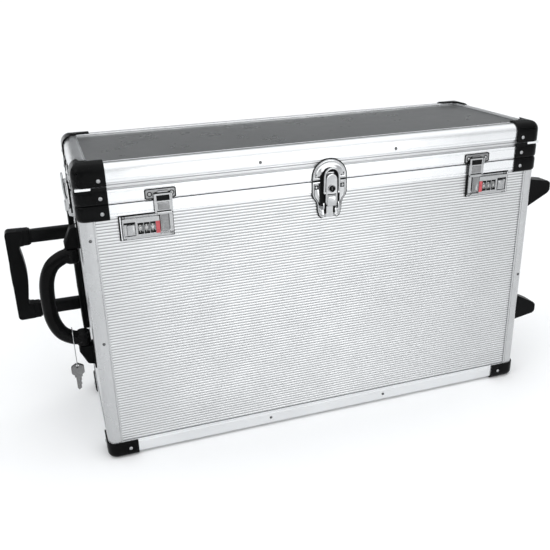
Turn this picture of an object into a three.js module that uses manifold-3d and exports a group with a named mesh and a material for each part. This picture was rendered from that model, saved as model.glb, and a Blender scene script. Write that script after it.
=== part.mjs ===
// Rolling aluminium poker chip case, lying on its base with the lid uppermost.
// Lengths are millimetres. The model is drawn with x from the left end, y from the front
// and z from the floor, then moved so that the origin is at the bottom centre of its box.

import * as THREE from 'three';
import { mergeVertices } from 'three/addons/utils/BufferGeometryUtils.js';
import Module from 'manifold-3d';

const wasm = await Module();
wasm.setup();

// Driving dimensions: the envelope over the plastic corner caps
const WIDTH = 590;
const DEPTH = 205;
const HEIGHT = 374;
const CORNER_RADIUS = 12;
const CORNER_STEPS = 5;

// Insets from the envelope of the layers of the wall, and the gap between touching parts
const GAP = 0.3;
const CAP_WALL = 1.7;
const FRAME_OUT = 2;
const FRAME_IN = 3.5;
const PANEL_OUT = 3.8;
const PANEL_IN = 7.8;
const PANEL_END = 11.6;
const LINING_OUT = 10.1;
const LINING_IN = 13.1;

// Heights of the horizontal bands of the case
const BASE_FRAME_TOP = 23;
const BODY_RIM_LOW = 313.3;
const BODY_RIM_TOP = 327.5;
const LID_RIM_LOW = 327.8;
const LID_RIM_TOP = 343.5;
const LID_FRAME_LOW = 352;
const FRAME_TOP = HEIGHT - FRAME_OUT;
const FLANGE_WIDTH = 17.5;
const RIM_LEDGE = 13.5;
const LID_EDGE_RADIUS = 12;
const BASE_EDGE_RADIUS = 8;

// Corner caps
const CAP_LENGTH = 36;
const CAP_COVER = 20;
const BASE_CAP_TOP = 22.4;
const LID_CAP_LOW = 348.4;

// Piano hinge along the back
const HINGE_Y = DEPTH + 2;
const HINGE_Z = (BODY_RIM_TOP + LID_RIM_LOW) / 2;
const HINGE_FROM = 60;
const HINGE_TO = 530;
const HINGE_KNUCKLES = 13;
const KNUCKLE_RADIUS = 3.2;
const HINGE_PIN_RADIUS = 1.1;

// Combination latches, drawn for the left side from a line 3 mm in from the end of the case,
// and mirrored for the right
const LATCH_START = 3;
const DIAL_RADIUS = 6;
const DIAL_WIDTH = 5.6;
const DIAL_PITCH = 7;
const DIAL_FIRST_X = 64.5;
const DIAL_Y = 3.2;
const DIAL_Z = 297.5;
const LATCH_FRONT = -2.2;
const LATCH_PIVOT_Y = -0.9;
const LATCH_PIVOT_Z = 292;

// Hasp latches: the key lock in the middle of the front and the one on the left end
const LOCK_X = WIDTH / 2;
const LOCK_HALF = 21.8;
const LOCK_PIVOT_Y = -3;
const LOCK_PIVOT_Z = 297.5;
const KEYHOLE_Z = 319;
const LOCK_FRONT = -8;

// Carry handle, trolley, wheels and feet
const HANDLE_X = -8;
const HANDLE_Y = 100;
const HANDLE_LOW_Z = 127;
const HANDLE_HIGH_Z = 241.3;
const HANDLE_REACH = -44;
const GRIP_RADIUS = 9.5;
const BOSS_RADIUS = 8;
const ROD_Y = 179;
const ROD_Z = [143, 247];
const ROD_SIZE_Y = 12;
const ROD_SIZE_Z = 17;
const ROD_END_X = 500;
const TROLLEY_REACH = 88;
const WHEEL_RADIUS = 18.5;
const WHEEL_WIDTH = 18;
const WHEEL_X = 609;
const WHEEL_Y = 192;
const WHEEL_Z = [86, 294];
const FOOT_REACH = 38;
const AXLE_RADIUS = 3;

// Keys hanging from the handle on a loop of wire
const WIRE_X = -21;
const WIRE_LOW_Z = 97;
const WIRE_RADIUS = 0.6;

const finish = (color, metalness, roughness) => ({ color, metalness, roughness });
const RIBBED = finish(0xc9ced4, 0.8, 0.35);
const SATIN = finish(0xdfe2e6, 0.9, 0.3);
const CHROME = finish(0xd8dadd, 1, 0.1);
const BLACK_GLOSS = finish(0x0b0b0d, 0, 0.25);
const BLACK_MATT = finish(0x17171a, 0, 0.6);
const FOAM = finish(0x1d1d20, 0, 0.95);

// ---- Solids ---------------------------------------------------------------------------

function toSolid(geometry) {
  for (const name of ['normal', 'uv']) geometry.deleteAttribute(name);
  const merged = mergeVertices(geometry, 1e-4);
  return new wasm.Manifold(new wasm.Mesh({
    numProp: 3,
    vertProperties: new Float32Array(merged.attributes.position.array),
    triVerts: new Uint32Array(merged.index.array),
  }));
}

const join = (first, ...others) => others.reduce((sum, next) => sum.add(next), first);
const cut = (first, ...others) => others.reduce((rest, next) => rest.subtract(next), first);

function block(xs, ys, zs) {
  const [size, middle] = [new THREE.Vector3(), new THREE.Vector3()];
  new THREE.Box3().setFromPoints([
    new THREE.Vector3(xs[0], ys[0], zs[0]),
    new THREE.Vector3(xs[1], ys[1], zs[1]),
  ]).getSize(size);
  middle.set((xs[0] + xs[1]) / 2, (ys[0] + ys[1]) / 2, (zs[0] + zs[1]) / 2);
  return toSolid(new THREE.BoxGeometry(size.x, size.y, size.z).translate(...middle.toArray()));
}

// Turns that carry a shape's own x, y and depth to the two other axes and the named axis
const TO_AXIS = {
  x: new THREE.Matrix4().set(0, 0, 1, 0, 1, 0, 0, 0, 0, 1, 0, 0, 0, 0, 0, 1),
  y: new THREE.Matrix4().set(1, 0, 0, 0, 0, 0, -1, 0, 0, 1, 0, 0, 0, 0, 0, 1),
  z: new THREE.Matrix4(),
};

// A flat outline in the two axes other than the named one, in the order x, y, z
function prism(shape, axis, from, to, curveSegments = 6) {
  const [low, high] = [Math.min(from, to), Math.max(from, to)];
  const start = axis === 'y' ? -high : low;
  const depth = high - low;
  const geometry = new THREE.ExtrudeGeometry(shape, { depth, bevelEnabled: false, curveSegments });
  return toSolid(geometry.translate(0, 0, start).applyMatrix4(TO_AXIS[axis]));
}

function polygon(points) {
  return new THREE.Shape(points.map(([a, b]) => new THREE.Vector2(a, b)));
}

function disc(a, b, radius, steps = 16) {
  const angles = Array.from({ length: steps }, (_, i) => ((i + 0.5) / steps) * 2 * Math.PI);
  return polygon(angles.map((t) => [a + radius * Math.cos(t), b + radius * Math.sin(t)]));
}

function roundedRectangle(a0, a1, b0, b1, radius) {
  const shape = new THREE.Shape();
  shape.absarc(a1 - radius, b0 + radius, radius, -Math.PI / 2, 0);
  shape.absarc(a1 - radius, b1 - radius, radius, 0, Math.PI / 2);
  shape.absarc(a0 + radius, b1 - radius, radius, Math.PI / 2, Math.PI);
  shape.absarc(a0 + radius, b0 + radius, radius, Math.PI, 1.5 * Math.PI);
  return shape;
}

// The case's plan outline, inset from the envelope, as points around a rounded rectangle
function planOutline(inset) {
  const radius = Math.max(CORNER_RADIUS - inset, 1);
  const centre = inset + radius;
  const [right, back] = [WIDTH - centre, DEPTH - centre];
  const corners = [[right, centre], [right, back], [centre, back], [centre, centre]];
  return corners.flatMap(([x, y], corner) => Array.from({ length: CORNER_STEPS + 1 }, (_, i) => {
    const angle = (corner - 1 + i / CORNER_STEPS) * (Math.PI / 2);
    return [x + radius * Math.cos(angle), y + radius * Math.sin(angle)];
  }));
}

// A closed solid through plan outlines stacked from the lowest level [inset, z] to the highest
function stack(levels) {
  const rings = levels.map(([inset, z]) => planOutline(inset).map(([x, y]) => [x, y, z]));
  const count = rings[0].length;
  const triangles = [];
  for (let i = 1; i < count - 1; i += 1) {
    triangles.push(0, i + 1, i);
    const top = (rings.length - 1) * count;
    triangles.push(top, top + i, top + i + 1);
  }
  for (let level = 0; level < rings.length - 1; level += 1) {
    for (let i = 0; i < count; i += 1) {
      const [a, b] = [level * count + i, level * count + ((i + 1) % count)];
      triangles.push(a, b, b + count, a, b + count, a + count);
    }
  }
  const geometry = new THREE.BufferGeometry();
  geometry.setAttribute('position', new THREE.Float32BufferAttribute(rings.flat(2), 3));
  geometry.setIndex(triangles);
  return toSolid(geometry);
}

// Levels of a rounded edge between a side at an inset and a flat top or bottom
function roundedEdge(inset, flatZ, radius, upward, steps = 3) {
  const levels = Array.from({ length: steps + 1 }, (_, i) => {
    const angle = (i / steps) * (Math.PI / 2);
    const drop = radius * (1 - Math.sin(angle));
    return [inset + radius * (1 - Math.cos(angle)), upward ? flatZ - drop : flatZ + drop];
  });
  return upward ? levels : levels.reverse();
}

const lidShape = (inset, low) => stack([
  [inset, low],
  ...roundedEdge(inset, HEIGHT - inset, LID_EDGE_RADIUS - inset, true),
]);
const baseShape = (inset, top) => stack([
  ...roundedEdge(inset, inset, BASE_EDGE_RADIUS - inset, false),
  [inset, top],
]);
const wallShape = (inset, low, high) => stack([[inset, low], [inset, high]]);

// ---- Scene ----------------------------------------------------------------------------

const model = new THREE.Group();
const body = new THREE.Group();
const lid = new THREE.Group();
model.add(body, lid);

function place(group, name, look, solid) {
  const mesh = solid.getMesh();
  const geometry = new THREE.BufferGeometry();
  geometry.setAttribute('position', new THREE.Float32BufferAttribute(mesh.vertProperties, 3));
  geometry.setIndex(new THREE.Uint32BufferAttribute(mesh.triVerts, 1));
  geometry.computeVertexNormals();
  const item = new THREE.Mesh(geometry, new THREE.MeshStandardMaterial(look));
  item.name = name;
  group.add(item);
}

// The four corners, each with a function that gives its region of a given length
const CORNERS = ['front_left', 'front_right', 'back_left', 'back_right'].map((name) => ({
  name,
  xs: (length) => (name.endsWith('left') ? [-1, length] : [WIDTH - length, WIDTH + 1]),
  ys: (length) => (name.startsWith('front') ? [-1, length] : [DEPTH - length, DEPTH + 1]),
}));

// ---- Case body ------------------------------------------------------------------------

// Holes through which the dials reach behind the front panel
const dialCentres = [0, 1, 2].map((i) => DIAL_FIRST_X + i * DIAL_PITCH);
const dialWell = (at, margin) => block(
  [at(60.3 - margin), at(82.7 + margin)],
  [-1.1, PANEL_IN + 1],
  [DIAL_Z - 6.8 - margin, DIAL_Z + 6.8 + margin],
);
const sides = { left: (x) => LATCH_START + x, right: (x) => WIDTH - LATCH_START - x };

function rodHoles(clearance, xs) {
  return ROD_Z.map((z) => block(
    xs,
    [ROD_Y - ROD_SIZE_Y / 2 - clearance, ROD_Y + ROD_SIZE_Y / 2 + clearance],
    [z - ROD_SIZE_Z / 2 - clearance, z + ROD_SIZE_Z / 2 + clearance],
  ));
}

function bodyPanels() {
  const heights = [8.4, BODY_RIM_TOP - 2.1];
  const across = [PANEL_END, WIDTH - PANEL_END];
  const along = [PANEL_END, DEPTH - PANEL_END];
  const front = block(across, [PANEL_OUT, PANEL_IN], heights);
  place(body, 'front_panel', RIBBED, cut(front, dialWell(sides.left, 0.5), dialWell(sides.right, 0.5)));
  place(body, 'back_panel', RIBBED, block(across, [DEPTH - PANEL_IN, DEPTH - PANEL_OUT], heights));
  const leftEnd = block([PANEL_OUT, PANEL_IN], along, heights);
  place(body, 'left_end_panel', RIBBED, cut(leftEnd, ...rodHoles(0.7, [0, 20])));
  place(body, 'right_end_panel', RIBBED, block([WIDTH - PANEL_IN, WIDTH - PANEL_OUT], along, heights));
  const bottomXs = [LINING_OUT, WIDTH - LINING_OUT];
  const bottomYs = [LINING_OUT, DEPTH - LINING_OUT];
  place(body, 'bottom_panel', RIBBED, block(bottomXs, bottomYs, [PANEL_OUT, LINING_OUT - GAP]));
}

function bodyFrames() {
  const base = cut(baseShape(FRAME_OUT, BASE_FRAME_TOP), baseShape(FRAME_IN, BASE_FRAME_TOP + 1));
  const opening = wallShape(FRAME_OUT + FLANGE_WIDTH, 0, BASE_FRAME_TOP + 1);
  place(body, 'bottom_frame', SATIN, cut(base, opening));

  const rim = cut(
    wallShape(FRAME_OUT, BODY_RIM_LOW, BODY_RIM_TOP),
    wallShape(FRAME_IN, BODY_RIM_LOW - 1, BODY_RIM_TOP - 1.8),
    wallShape(RIM_LEDGE, BODY_RIM_LOW, BODY_RIM_TOP + 1),
  );
  place(body, 'body_rim', SATIN, rim);

  const tube = [BASE_FRAME_TOP + GAP, BODY_RIM_LOW - GAP];
  const wall = cut(wallShape(FRAME_OUT, ...tube), wallShape(FRAME_IN, tube[0] - 1, tube[1] + 1));
  for (const { name, xs, ys } of CORNERS) {
    const leg = FRAME_OUT + FLANGE_WIDTH;
    place(body, `corner_post_${name}`, SATIN, wall.intersect(block(xs(leg), ys(leg), [0, HEIGHT])));
  }
}

function baseCaps() {
  const opening = wallShape(CAP_COVER, -1, BASE_CAP_TOP + 1);
  const shell = cut(baseShape(0, BASE_CAP_TOP), baseShape(CAP_WALL, BASE_CAP_TOP + 1), opening);
  for (const { name, xs, ys } of CORNERS) {
    const region = block(xs(CAP_LENGTH), ys(CAP_LENGTH), [-1, HEIGHT]);
    place(body, `bottom_cap_${name}`, BLACK_GLOSS, shell.intersect(region));
  }
}

// The foam tray stops short of the back, and a ledge covers the channel for the trolley rods
function liningTray() {
  const back = ROD_Y - ROD_SIZE_Y / 2 - 1.5;
  const top = BODY_RIM_TOP - 2.1;
  const outer = block([LINING_OUT, WIDTH - LINING_OUT], [LINING_OUT, back], [LINING_OUT, top]);
  const inner = block([LINING_IN, WIDTH - LINING_IN], [LINING_IN, back - 3], [LINING_IN, top + 1]);
  const ledge = block([LINING_OUT, WIDTH - LINING_OUT], [back - 1, DEPTH - LINING_OUT], [top - 3, top]);
  place(body, 'case_lining', FOAM, join(cut(outer, inner), ledge));
}

function cornerFeet() {
  // Each foot leans: a steep side away from the middle of the end and a long slope towards it
  const [base, tip] = [WIDTH - FRAME_OUT + GAP, WIDTH + FOOT_REACH];
  const middle = 187.5;
  for (const [name, side] of [['lower', -1], ['upper', 1]]) {
    const at = (offset) => middle + side * offset;
    const outline = polygon([[base, at(105.5)], [tip - 2, at(98)], [tip, at(96)], [tip, at(86)],
      [tip - 2, at(84)], [base, at(62.5)]]);
    const pad = block([WIDTH - PANEL_OUT + GAP, base + 1], [20.5, 40], [at(104), at(64)]);
    place(body, `foot_${name}`, BLACK_MATT, join(prism(outline, 'y', 16, 40), pad));
  }
}

function wheels() {
  const base = WIDTH - FRAME_OUT + GAP;
  for (const [i, name] of ['lower', 'upper'].entries()) {
    const z = WHEEL_Z[i];
    const cheek = polygon([[base, 170], [base + 8, 172], [WHEEL_X, WHEEL_Y - 9],
      [WHEEL_X + 7.5, WHEEL_Y - 5], [WHEEL_X + 9, WHEEL_Y], [WHEEL_X + 7.5, WHEEL_Y + 5],
      [WHEEL_X, WHEEL_Y + 9], [base, 203]]);
    const inner = WHEEL_WIDTH / 2 + 0.5;
    const housing = join(
      block([base, base + 1.6], [166, 203], [z - 16, z + 16]),
      block([WIDTH - PANEL_OUT + GAP, base + 1], [166, 185], [z - 16, z + 16]),
      prism(cheek, 'z', z - inner - 3.5, z - inner),
      prism(cheek, 'z', z + inner, z + inner + 3.5),
      prism(disc(WHEEL_X, WHEEL_Y, AXLE_RADIUS), 'z', z - inner - 1, z + inner + 1),
    );
    place(body, `wheel_housing_${name}`, BLACK_MATT, housing);

    const half = WHEEL_WIDTH / 2;
    const bore = AXLE_RADIUS + 0.35;
    const rim = [[bore, -half], [WHEEL_RADIUS - 2, -half], [WHEEL_RADIUS, -half + 2],
      [WHEEL_RADIUS, half - 2], [WHEEL_RADIUS - 2, half], [bore, half], [bore, -half]];
    const tyre = new THREE.LatheGeometry(rim.map(([r, y]) => new THREE.Vector2(r, y)), 28);
    const spinner = new THREE.Group();
    model.add(spinner);
    tyre.rotateX(Math.PI / 2).translate(WHEEL_X, WHEEL_Y, z);
    place(spinner, `wheel_${name}`, BLACK_MATT, toSolid(tyre));
  }
}

// ---- Lid ------------------------------------------------------------------------------

function lidParts() {
  const inside = wallShape(PANEL_IN, LID_RIM_LOW, HEIGHT - PANEL_IN);
  place(lid, 'lid_panel', RIBBED, cut(lidShape(PANEL_OUT, LID_RIM_LOW + 2.1), inside));

  const edge = cut(
    lidShape(FRAME_OUT, LID_FRAME_LOW),
    lidShape(FRAME_IN, LID_FRAME_LOW - 1),
    wallShape(FRAME_OUT + FLANGE_WIDTH, FRAME_TOP - 5, HEIGHT),
  );
  place(lid, 'lid_edge_frame', SATIN, edge);

  const rim = cut(
    wallShape(FRAME_OUT, LID_RIM_LOW, LID_RIM_TOP),
    wallShape(FRAME_IN, LID_RIM_LOW + 1.8, LID_RIM_TOP + 1),
    wallShape(RIM_LEDGE, LID_RIM_LOW - 1, LID_RIM_TOP),
  );
  place(lid, 'lid_rim', SATIN, rim);

  const opening = wallShape(CAP_COVER, LID_CAP_LOW - 1, HEIGHT + 1);
  const shell = cut(lidShape(0, LID_CAP_LOW), lidShape(CAP_WALL, LID_CAP_LOW - 1), opening);
  for (const { name, xs, ys } of CORNERS) {
    const region = block(xs(CAP_LENGTH), ys(CAP_LENGTH), [0, HEIGHT + 1]);
    place(lid, `lid_cap_${name}`, BLACK_GLOSS, shell.intersect(region));
  }
}

// Two leaves with alternating knuckles: the body leaf carries the pin
function pianoHinge() {
  const pitch = (HINGE_TO - HINGE_FROM) / HINGE_KNUCKLES;
  const leafYs = [DEPTH - FRAME_OUT + GAP, DEPTH - FRAME_OUT + 1.6];
  const clear = KNUCKLE_RADIUS + 0.5;
  const bore = prism(disc(HINGE_Y, HINGE_Z, HINGE_PIN_RADIUS + 0.4, 12), 'x', HINGE_FROM - 1, HINGE_TO + 1);
  const leaf = (from, towards, zs) => {
    let solid = block([HINGE_FROM, HINGE_TO], leafYs, zs);
    for (let i = from; i < HINGE_KNUCKLES; i += 2) {
      const xs = [HINGE_FROM + i * pitch + 0.3, HINGE_FROM + (i + 1) * pitch - 0.3];
      const knuckle = prism(disc(HINGE_Y, HINGE_Z, KNUCKLE_RADIUS, 12), 'x', ...xs);
      const tab = block(xs, leafYs, [HINGE_Z + towards * (clear + 1), HINGE_Z + towards * 0.4]);
      solid = join(solid, tab, knuckle);
    }
    return cut(solid, bore);
  };
  const pin = prism(disc(HINGE_Y, HINGE_Z, HINGE_PIN_RADIUS, 12), 'x', HINGE_FROM + 1, HINGE_TO - 1);
  const weld = [0, HINGE_KNUCKLES - 1].map((i) => {
    const x = HINGE_FROM + (i + 0.5) * pitch;
    return prism(disc(HINGE_Y, HINGE_Z, KNUCKLE_RADIUS - 0.5, 12), 'x', x - 2, x + 2);
  });
  place(body, 'hinge_body_leaf', CHROME, join(leaf(0, -1, [314.5, HINGE_Z - clear]), pin, ...weld));
  place(lid, 'hinge_lid_leaf', CHROME, leaf(1, 1, [HINGE_Z + clear, 342]));
}

// ---- Combination latches --------------------------------------------------------------

function combinationLatch(side) {
  const at = sides[side];
  const xs = (a, b) => [at(a), at(b)];
  const plateTop = 312.7;
  const plate = join(
    block(xs(42.5, 101.5), [0.8, PANEL_OUT - GAP], [285, plateTop]),
    block(xs(44.7, 87), [LATCH_FRONT, 1], [288, 309.5]),
    block(xs(98.8, 101.5), [LATCH_FRONT, 1], [288, 309.5]),
  );
  const windows = dialCentres.map((x) => block(
    xs(x - 3.1, x + 3.1), [LATCH_FRONT - 1, 0], [DIAL_Z - 4.8, DIAL_Z + 4.8],
  ));
  const buttonSlot = block(xs(45.9, 58.6), [LATCH_FRONT - 1, 0], [290.6, 304.4]);
  const pivotGroove = block(xs(87, 98.8), [LATCH_FRONT - 1, 1.7], [289.4, 294.6]);
  const dialAxle = prism(disc(DIAL_Y, DIAL_Z, 1.1, 12), 'x', ...xs(60, 83));
  const leverPin = prism(disc(LATCH_PIVOT_Y, LATCH_PIVOT_Z, 0.8, 10), 'x', ...xs(86, 99.8));
  const axleEars = [xs(60.3, 61), xs(82, 82.7)].map((ear) => (
    block(ear, [1, 3.5], [DIAL_Z - 1.6, DIAL_Z + 1.6])));
  const base = cut(plate, dialWell(at, 0), ...windows, buttonSlot, pivotGroove);
  place(body, `latch_plate_${side}`, CHROME, join(base, dialAxle, leverPin, ...axleEars));

  for (const [i, x] of dialCentres.entries()) {
    const span = xs(x - DIAL_WIDTH / 2, x + DIAL_WIDTH / 2);
    const wheel = prism(disc(DIAL_Y, DIAL_Z, DIAL_RADIUS, 20), 'x', ...span);
    const hole = prism(disc(DIAL_Y, DIAL_Z, 1.5, 12), 'x', ...xs(x - 4, x + 4));
    place(model, `dial_${side}_${i + 1}`, CHROME, cut(wheel, hole));
  }

  const slider = block(xs(49.2, 58.2), [LATCH_FRONT - 1.4, -0.4], [291, 304]);
  place(model, `latch_slide_${side}`, CHROME, slider);

  const lever = join(
    prism(disc(LATCH_PIVOT_Y, LATCH_PIVOT_Z, 2.1, 14), 'x', ...xs(87.4, 98.4)),
    block(xs(87.4, 98.4), [-2.9, -1.1], [LATCH_PIVOT_Z, 313.2]),
    block(xs(85.2, 99.4), [-2.9, -1.1], [313, 337.6]),
  );
  const leverBore = prism(disc(LATCH_PIVOT_Y, LATCH_PIVOT_Z, 1.15, 10), 'x', ...xs(80, 105));
  place(model, `latch_lever_${side}`, CHROME, cut(lever, leverBore));
}

// ---- Hasp latches -----------------------------------------------------------------------

// Drawn with x from the latch's middle and y from the envelope's face, then set on a face
function haspPlate() {
  const shield = polygon([[-LOCK_HALF, 327.2], [-LOCK_HALF, 316], [-16.5, 306], [-16.5, 294], [-6, 281.3],
    [6, 281.3], [16.5, 294], [16.5, 306], [LOCK_HALF, 316], [LOCK_HALF, 327.2]]);
  const pin = prism(disc(LOCK_PIVOT_Y, LOCK_PIVOT_Z, 0.9, 12), 'x', -9.5, 9.5);
  const ears = [-1, 1].map((side) => block([side * 8.3, side * 10.8], [-5.4, 0], [294.6, 300.4]));
  const overPanel = block([-30, 30], [0, 4], [280, BODY_RIM_LOW - GAP]);
  return join(
    prism(shield, 'y', -0.2, FRAME_OUT - GAP),
    prism(shield, 'y', 1, PANEL_OUT - GAP).intersect(overPanel),
    pin, ...ears,
  );
}

// A tongue on a barrel, with an arched bail that reaches over the keeper and a thumb lip
function haspLever() {
  const tongue = block([-7.9, 7.9], [-6.6, -2.6], [LOCK_PIVOT_Z, 327]);
  const barrel = prism(disc(LOCK_PIVOT_Y, LOCK_PIVOT_Z, 2.4, 14), 'x', -7.9, 7.9);
  const bailShape = roundedRectangle(-10.5, 10.5, 314, 344, 9);
  bailShape.holes.push(roundedRectangle(-7, 7, 317.5, 340.5, 6));
  const bail = prism(bailShape, 'y', LOCK_FRONT, -5.4, 5);
  const lip = block([-5.2, 5.2], [LOCK_FRONT, -6.4], [299.5, 306]);
  const pinBore = prism(disc(LOCK_PIVOT_Y, LOCK_PIVOT_Z, 1.25, 12), 'x', -9, 9);
  return cut(join(tongue, barrel, bail, lip), pinBore);
}

function keyLock() {
  const front = new THREE.Group();
  front.position.set(LOCK_X, 0, 0);
  model.add(front);
  place(front, 'lock_plate', CHROME, haspPlate());
  const cylinderBore = prism(disc(0, KEYHOLE_Z, 4.1, 24), 'y', LOCK_FRONT - 1, -3.2);
  place(front, 'lock_lever', CHROME, cut(haspLever(), cylinderBore));

  const plug = prism(disc(0, KEYHOLE_Z, 3.7, 24), 'y', -7.4, -3.5);
  const keyhole = block([-0.5, 0.5], [-9, -5.2], [KEYHOLE_Z - 2.3, KEYHOLE_Z + 2.3]);
  place(front, 'lock_cylinder', CHROME, cut(plug, keyhole));

  const arch = new THREE.Shape();
  arch.moveTo(-LOCK_HALF, 328.2);
  arch.lineTo(LOCK_HALF, 328.2);
  arch.lineTo(LOCK_HALF, 342);
  arch.quadraticCurveTo(LOCK_HALF - 2, 353, 8, 353);
  arch.lineTo(-8, 353);
  arch.quadraticCurveTo(2 - LOCK_HALF, 353, -LOCK_HALF, 342);
  const boss = block([-4.4, 4.4], [-5, 0], [331, 338.5]);
  place(front, 'lock_keeper', CHROME, join(prism(arch, 'y', -0.2, FRAME_OUT - GAP), boss));
}

// The same latch without a key, in the middle of the left end above the carry handle
function endLatch() {
  const end = new THREE.Group();
  end.position.set(0, DEPTH / 2, 0);
  end.rotation.z = -Math.PI / 2;
  model.add(end);
  place(end, 'end_latch_plate', CHROME, haspPlate());
  place(end, 'end_latch_lever', CHROME, haspLever());
}

// ---- Carry handle and keys ------------------------------------------------------------

function carryHandle() {
  const [low, high] = [HANDLE_LOW_Z, HANDLE_HIGH_Z];
  const middle = (low + high) / 2;
  const arm = [[HANDLE_X - 2, 0], [HANDLE_X - 13, 2.5], [HANDLE_X - 26, 12], [HANDLE_REACH + 2, 31]];
  const route = [
    ...arm.map(([x, rise]) => [x, low + rise]),
    [HANDLE_REACH, middle],
    ...arm.toReversed().map(([x, rise]) => [x, high - rise]),
  ].map(([x, z]) => new THREE.Vector3(x, HANDLE_Y, z));
  const sweep = new THREE.ExtrudeGeometry(disc(0, 0, GRIP_RADIUS, 12), {
    steps: 22,
    bevelEnabled: false,
    extrudePath: new THREE.CatmullRomCurve3(route),
  });
  const boss = (z) => prism(
    disc(HANDLE_X, HANDLE_Y, BOSS_RADIUS, 20), 'z', z - GRIP_RADIUS, z + GRIP_RADIUS,
  );
  const bores = [low, high].map((z) => prism(
    disc(HANDLE_X, HANDLE_Y, AXLE_RADIUS + 0.35), 'z', z - 11, z + 11,
  ));
  place(model, 'handle_grip', BLACK_GLOSS, cut(join(toSolid(sweep), boss(low), boss(high)), ...bores));

  // Each bracket stands off the end panel beyond the grip and carries a pin into it
  for (const [name, z, away] of [['lower', low, -1], ['upper', high, 1]]) {
    const start = z + away * (GRIP_RADIUS + 0.4);
    const wall = PANEL_OUT - GAP;
    const side = polygon([[wall, start], [HANDLE_X - 7.5, start], [HANDLE_X - 7.5, start + away * 7],
      [HANDLE_X + 1, start + away * 28], [wall, start + away * 28]]);
    const bracket = prism(side, 'y', HANDLE_Y - 9, HANDLE_Y + 9);
    const pin = prism(disc(HANDLE_X, HANDLE_Y, AXLE_RADIUS), 'z', z - away * 6, start + away * 2);
    place(body, `handle_mount_${name}`, BLACK_MATT, join(bracket, pin));
  }
}

// A loop of wire round the grip's lower arm, with its lowest stretch running along y
function keysOnWire() {
  const low = WIRE_LOW_Z;
  const loop = [[113, 32], [111, 39.5], [102, 45.2], [93, 44.8], [87, 39], [84, 26], [79.5, 10],
    [78, 3], [80.5, 0], [86, 0], [92, 0], [101, 9], [109, 20], [113, 30]]
    .map(([y, z]) => new THREE.Vector3(WIRE_X, y, low + z));
  const wire = new THREE.ExtrudeGeometry(disc(0, 0, WIRE_RADIUS, 6), {
    steps: 40,
    bevelEnabled: false,
    extrudePath: new THREE.CatmullRomCurve3(loop),
  });
  const crimp = block([WIRE_X - 1.2, WIRE_X + 1.2], [111.8, 114.2], [low + 27.5, low + 34.5]);
  place(model, 'key_wire', CHROME, join(toSolid(wire), crimp));

  const holeRadius = 2.2;
  const holeZ = low - holeRadius + WIRE_RADIUS + 0.35;
  for (const [i, y] of [81.3, 84.5].entries()) {
    const bow = prism(disc(WIRE_X, holeZ - 5.5, 8.6, 24), 'y', y, y + 1.8);
    const cuts = [[-3.6, 12], [-3.6, 31], [-1.6, 34], [2, 31.5], [0.8, 28.5], [3, 26], [1.4, 23],
      [3.4, 20], [3.4, 12]].map(([across, drop]) => [WIRE_X + across, holeZ - drop]);
    const blade = prism(polygon(cuts), 'y', y, y + 1.8);
    const hole = prism(disc(WIRE_X, holeZ, holeRadius, 16), 'y', y - 1, y + 3);
    place(model, `key_${i + 1}`, CHROME, cut(join(bow, blade), hole));
  }
}

// ---- Trolley --------------------------------------------------------------------------

function trolley() {
  const wall = PANEL_OUT - GAP;
  const bezel = join(
    prism(roundedRectangle(156, 198, 112, 278, 8), 'x', -5, FRAME_OUT - GAP),
    block([0, wall], [158, 184.8], [118, 272]),
  );
  place(body, 'trolley_bezel', BLACK_MATT, cut(bezel, ...rodHoles(0.4, [-10, 20])));

  for (const [i, name] of ['lower', 'upper'].entries()) {
    const [y, z] = [ROD_SIZE_Y / 2, ROD_SIZE_Z / 2];
    const section = roundedRectangle(ROD_Y - y, ROD_Y + y, ROD_Z[i] - z, ROD_Z[i] + z, 2.5);
    place(model, `trolley_rod_${name}`, BLACK_GLOSS, prism(section, 'x', -75, ROD_END_X, 3));
  }

  // A bar with a finger bulge, and a socket at each end that takes a rod
  const [low, high] = [ROD_Z[0] - 10.5, ROD_Z[1] + 10.5];
  const middle = (ROD_Z[0] + ROD_Z[1]) / 2;
  const [outer, inner, socket] = [1.5 - TROLLEY_REACH, -71, -57];
  const outline = new THREE.Shape();
  outline.absarc(outer + 8, low + 8, 8, Math.PI, 1.5 * Math.PI);
  outline.lineTo(socket, low + 0.5);
  outline.lineTo(socket, ROD_Z[0] + 10);
  outline.lineTo(inner + 6, ROD_Z[0] + 10.5);
  outline.quadraticCurveTo(inner, ROD_Z[0] + 12, inner, ROD_Z[0] + 20);
  outline.quadraticCurveTo(inner + 4.5, middle, inner, ROD_Z[1] - 20);
  outline.quadraticCurveTo(inner, ROD_Z[1] - 12, inner + 6, ROD_Z[1] - 10.5);
  outline.lineTo(socket, ROD_Z[1] - 10);
  outline.lineTo(socket, high - 0.5);
  outline.absarc(outer + 8, high - 8, 8, Math.PI / 2, Math.PI);
  const bar = prism(outline, 'y', ROD_Y - 9.5, ROD_Y + 9.5);
  const buttonWell = block(
    [outer - 1, outer + 7], [ROD_Y - 4.4, ROD_Y + 4.4], [middle - 15.4, middle + 15.4],
  );
  const grip = cut(bar, buttonWell, ...rodHoles(GAP, [-75.4, -50]));
  place(model, 'trolley_grip', BLACK_MATT, grip);
  const button = roundedRectangle(ROD_Y - 4, ROD_Y + 4, middle - 15, middle + 15, 3.5);
  place(model, 'trolley_button', BLACK_GLOSS, prism(button, 'x', -TROLLEY_REACH, outer + 3.5));
}

bodyPanels();
bodyFrames();
baseCaps();
liningTray();
cornerFeet();
wheels();
lidParts();
pianoHinge();
combinationLatch('left');
combinationLatch('right');
keyLock();
endLatch();
carryHandle();
keysOnWire();
trolley();

const boxCentreX = (WIDTH + FOOT_REACH - TROLLEY_REACH) / 2;
const boxCentreY = (WHEEL_Y + WHEEL_RADIUS + LOCK_FRONT) / 2;
model.position.set(-boxCentreX, -boxCentreY, 0);

export default model;
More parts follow.
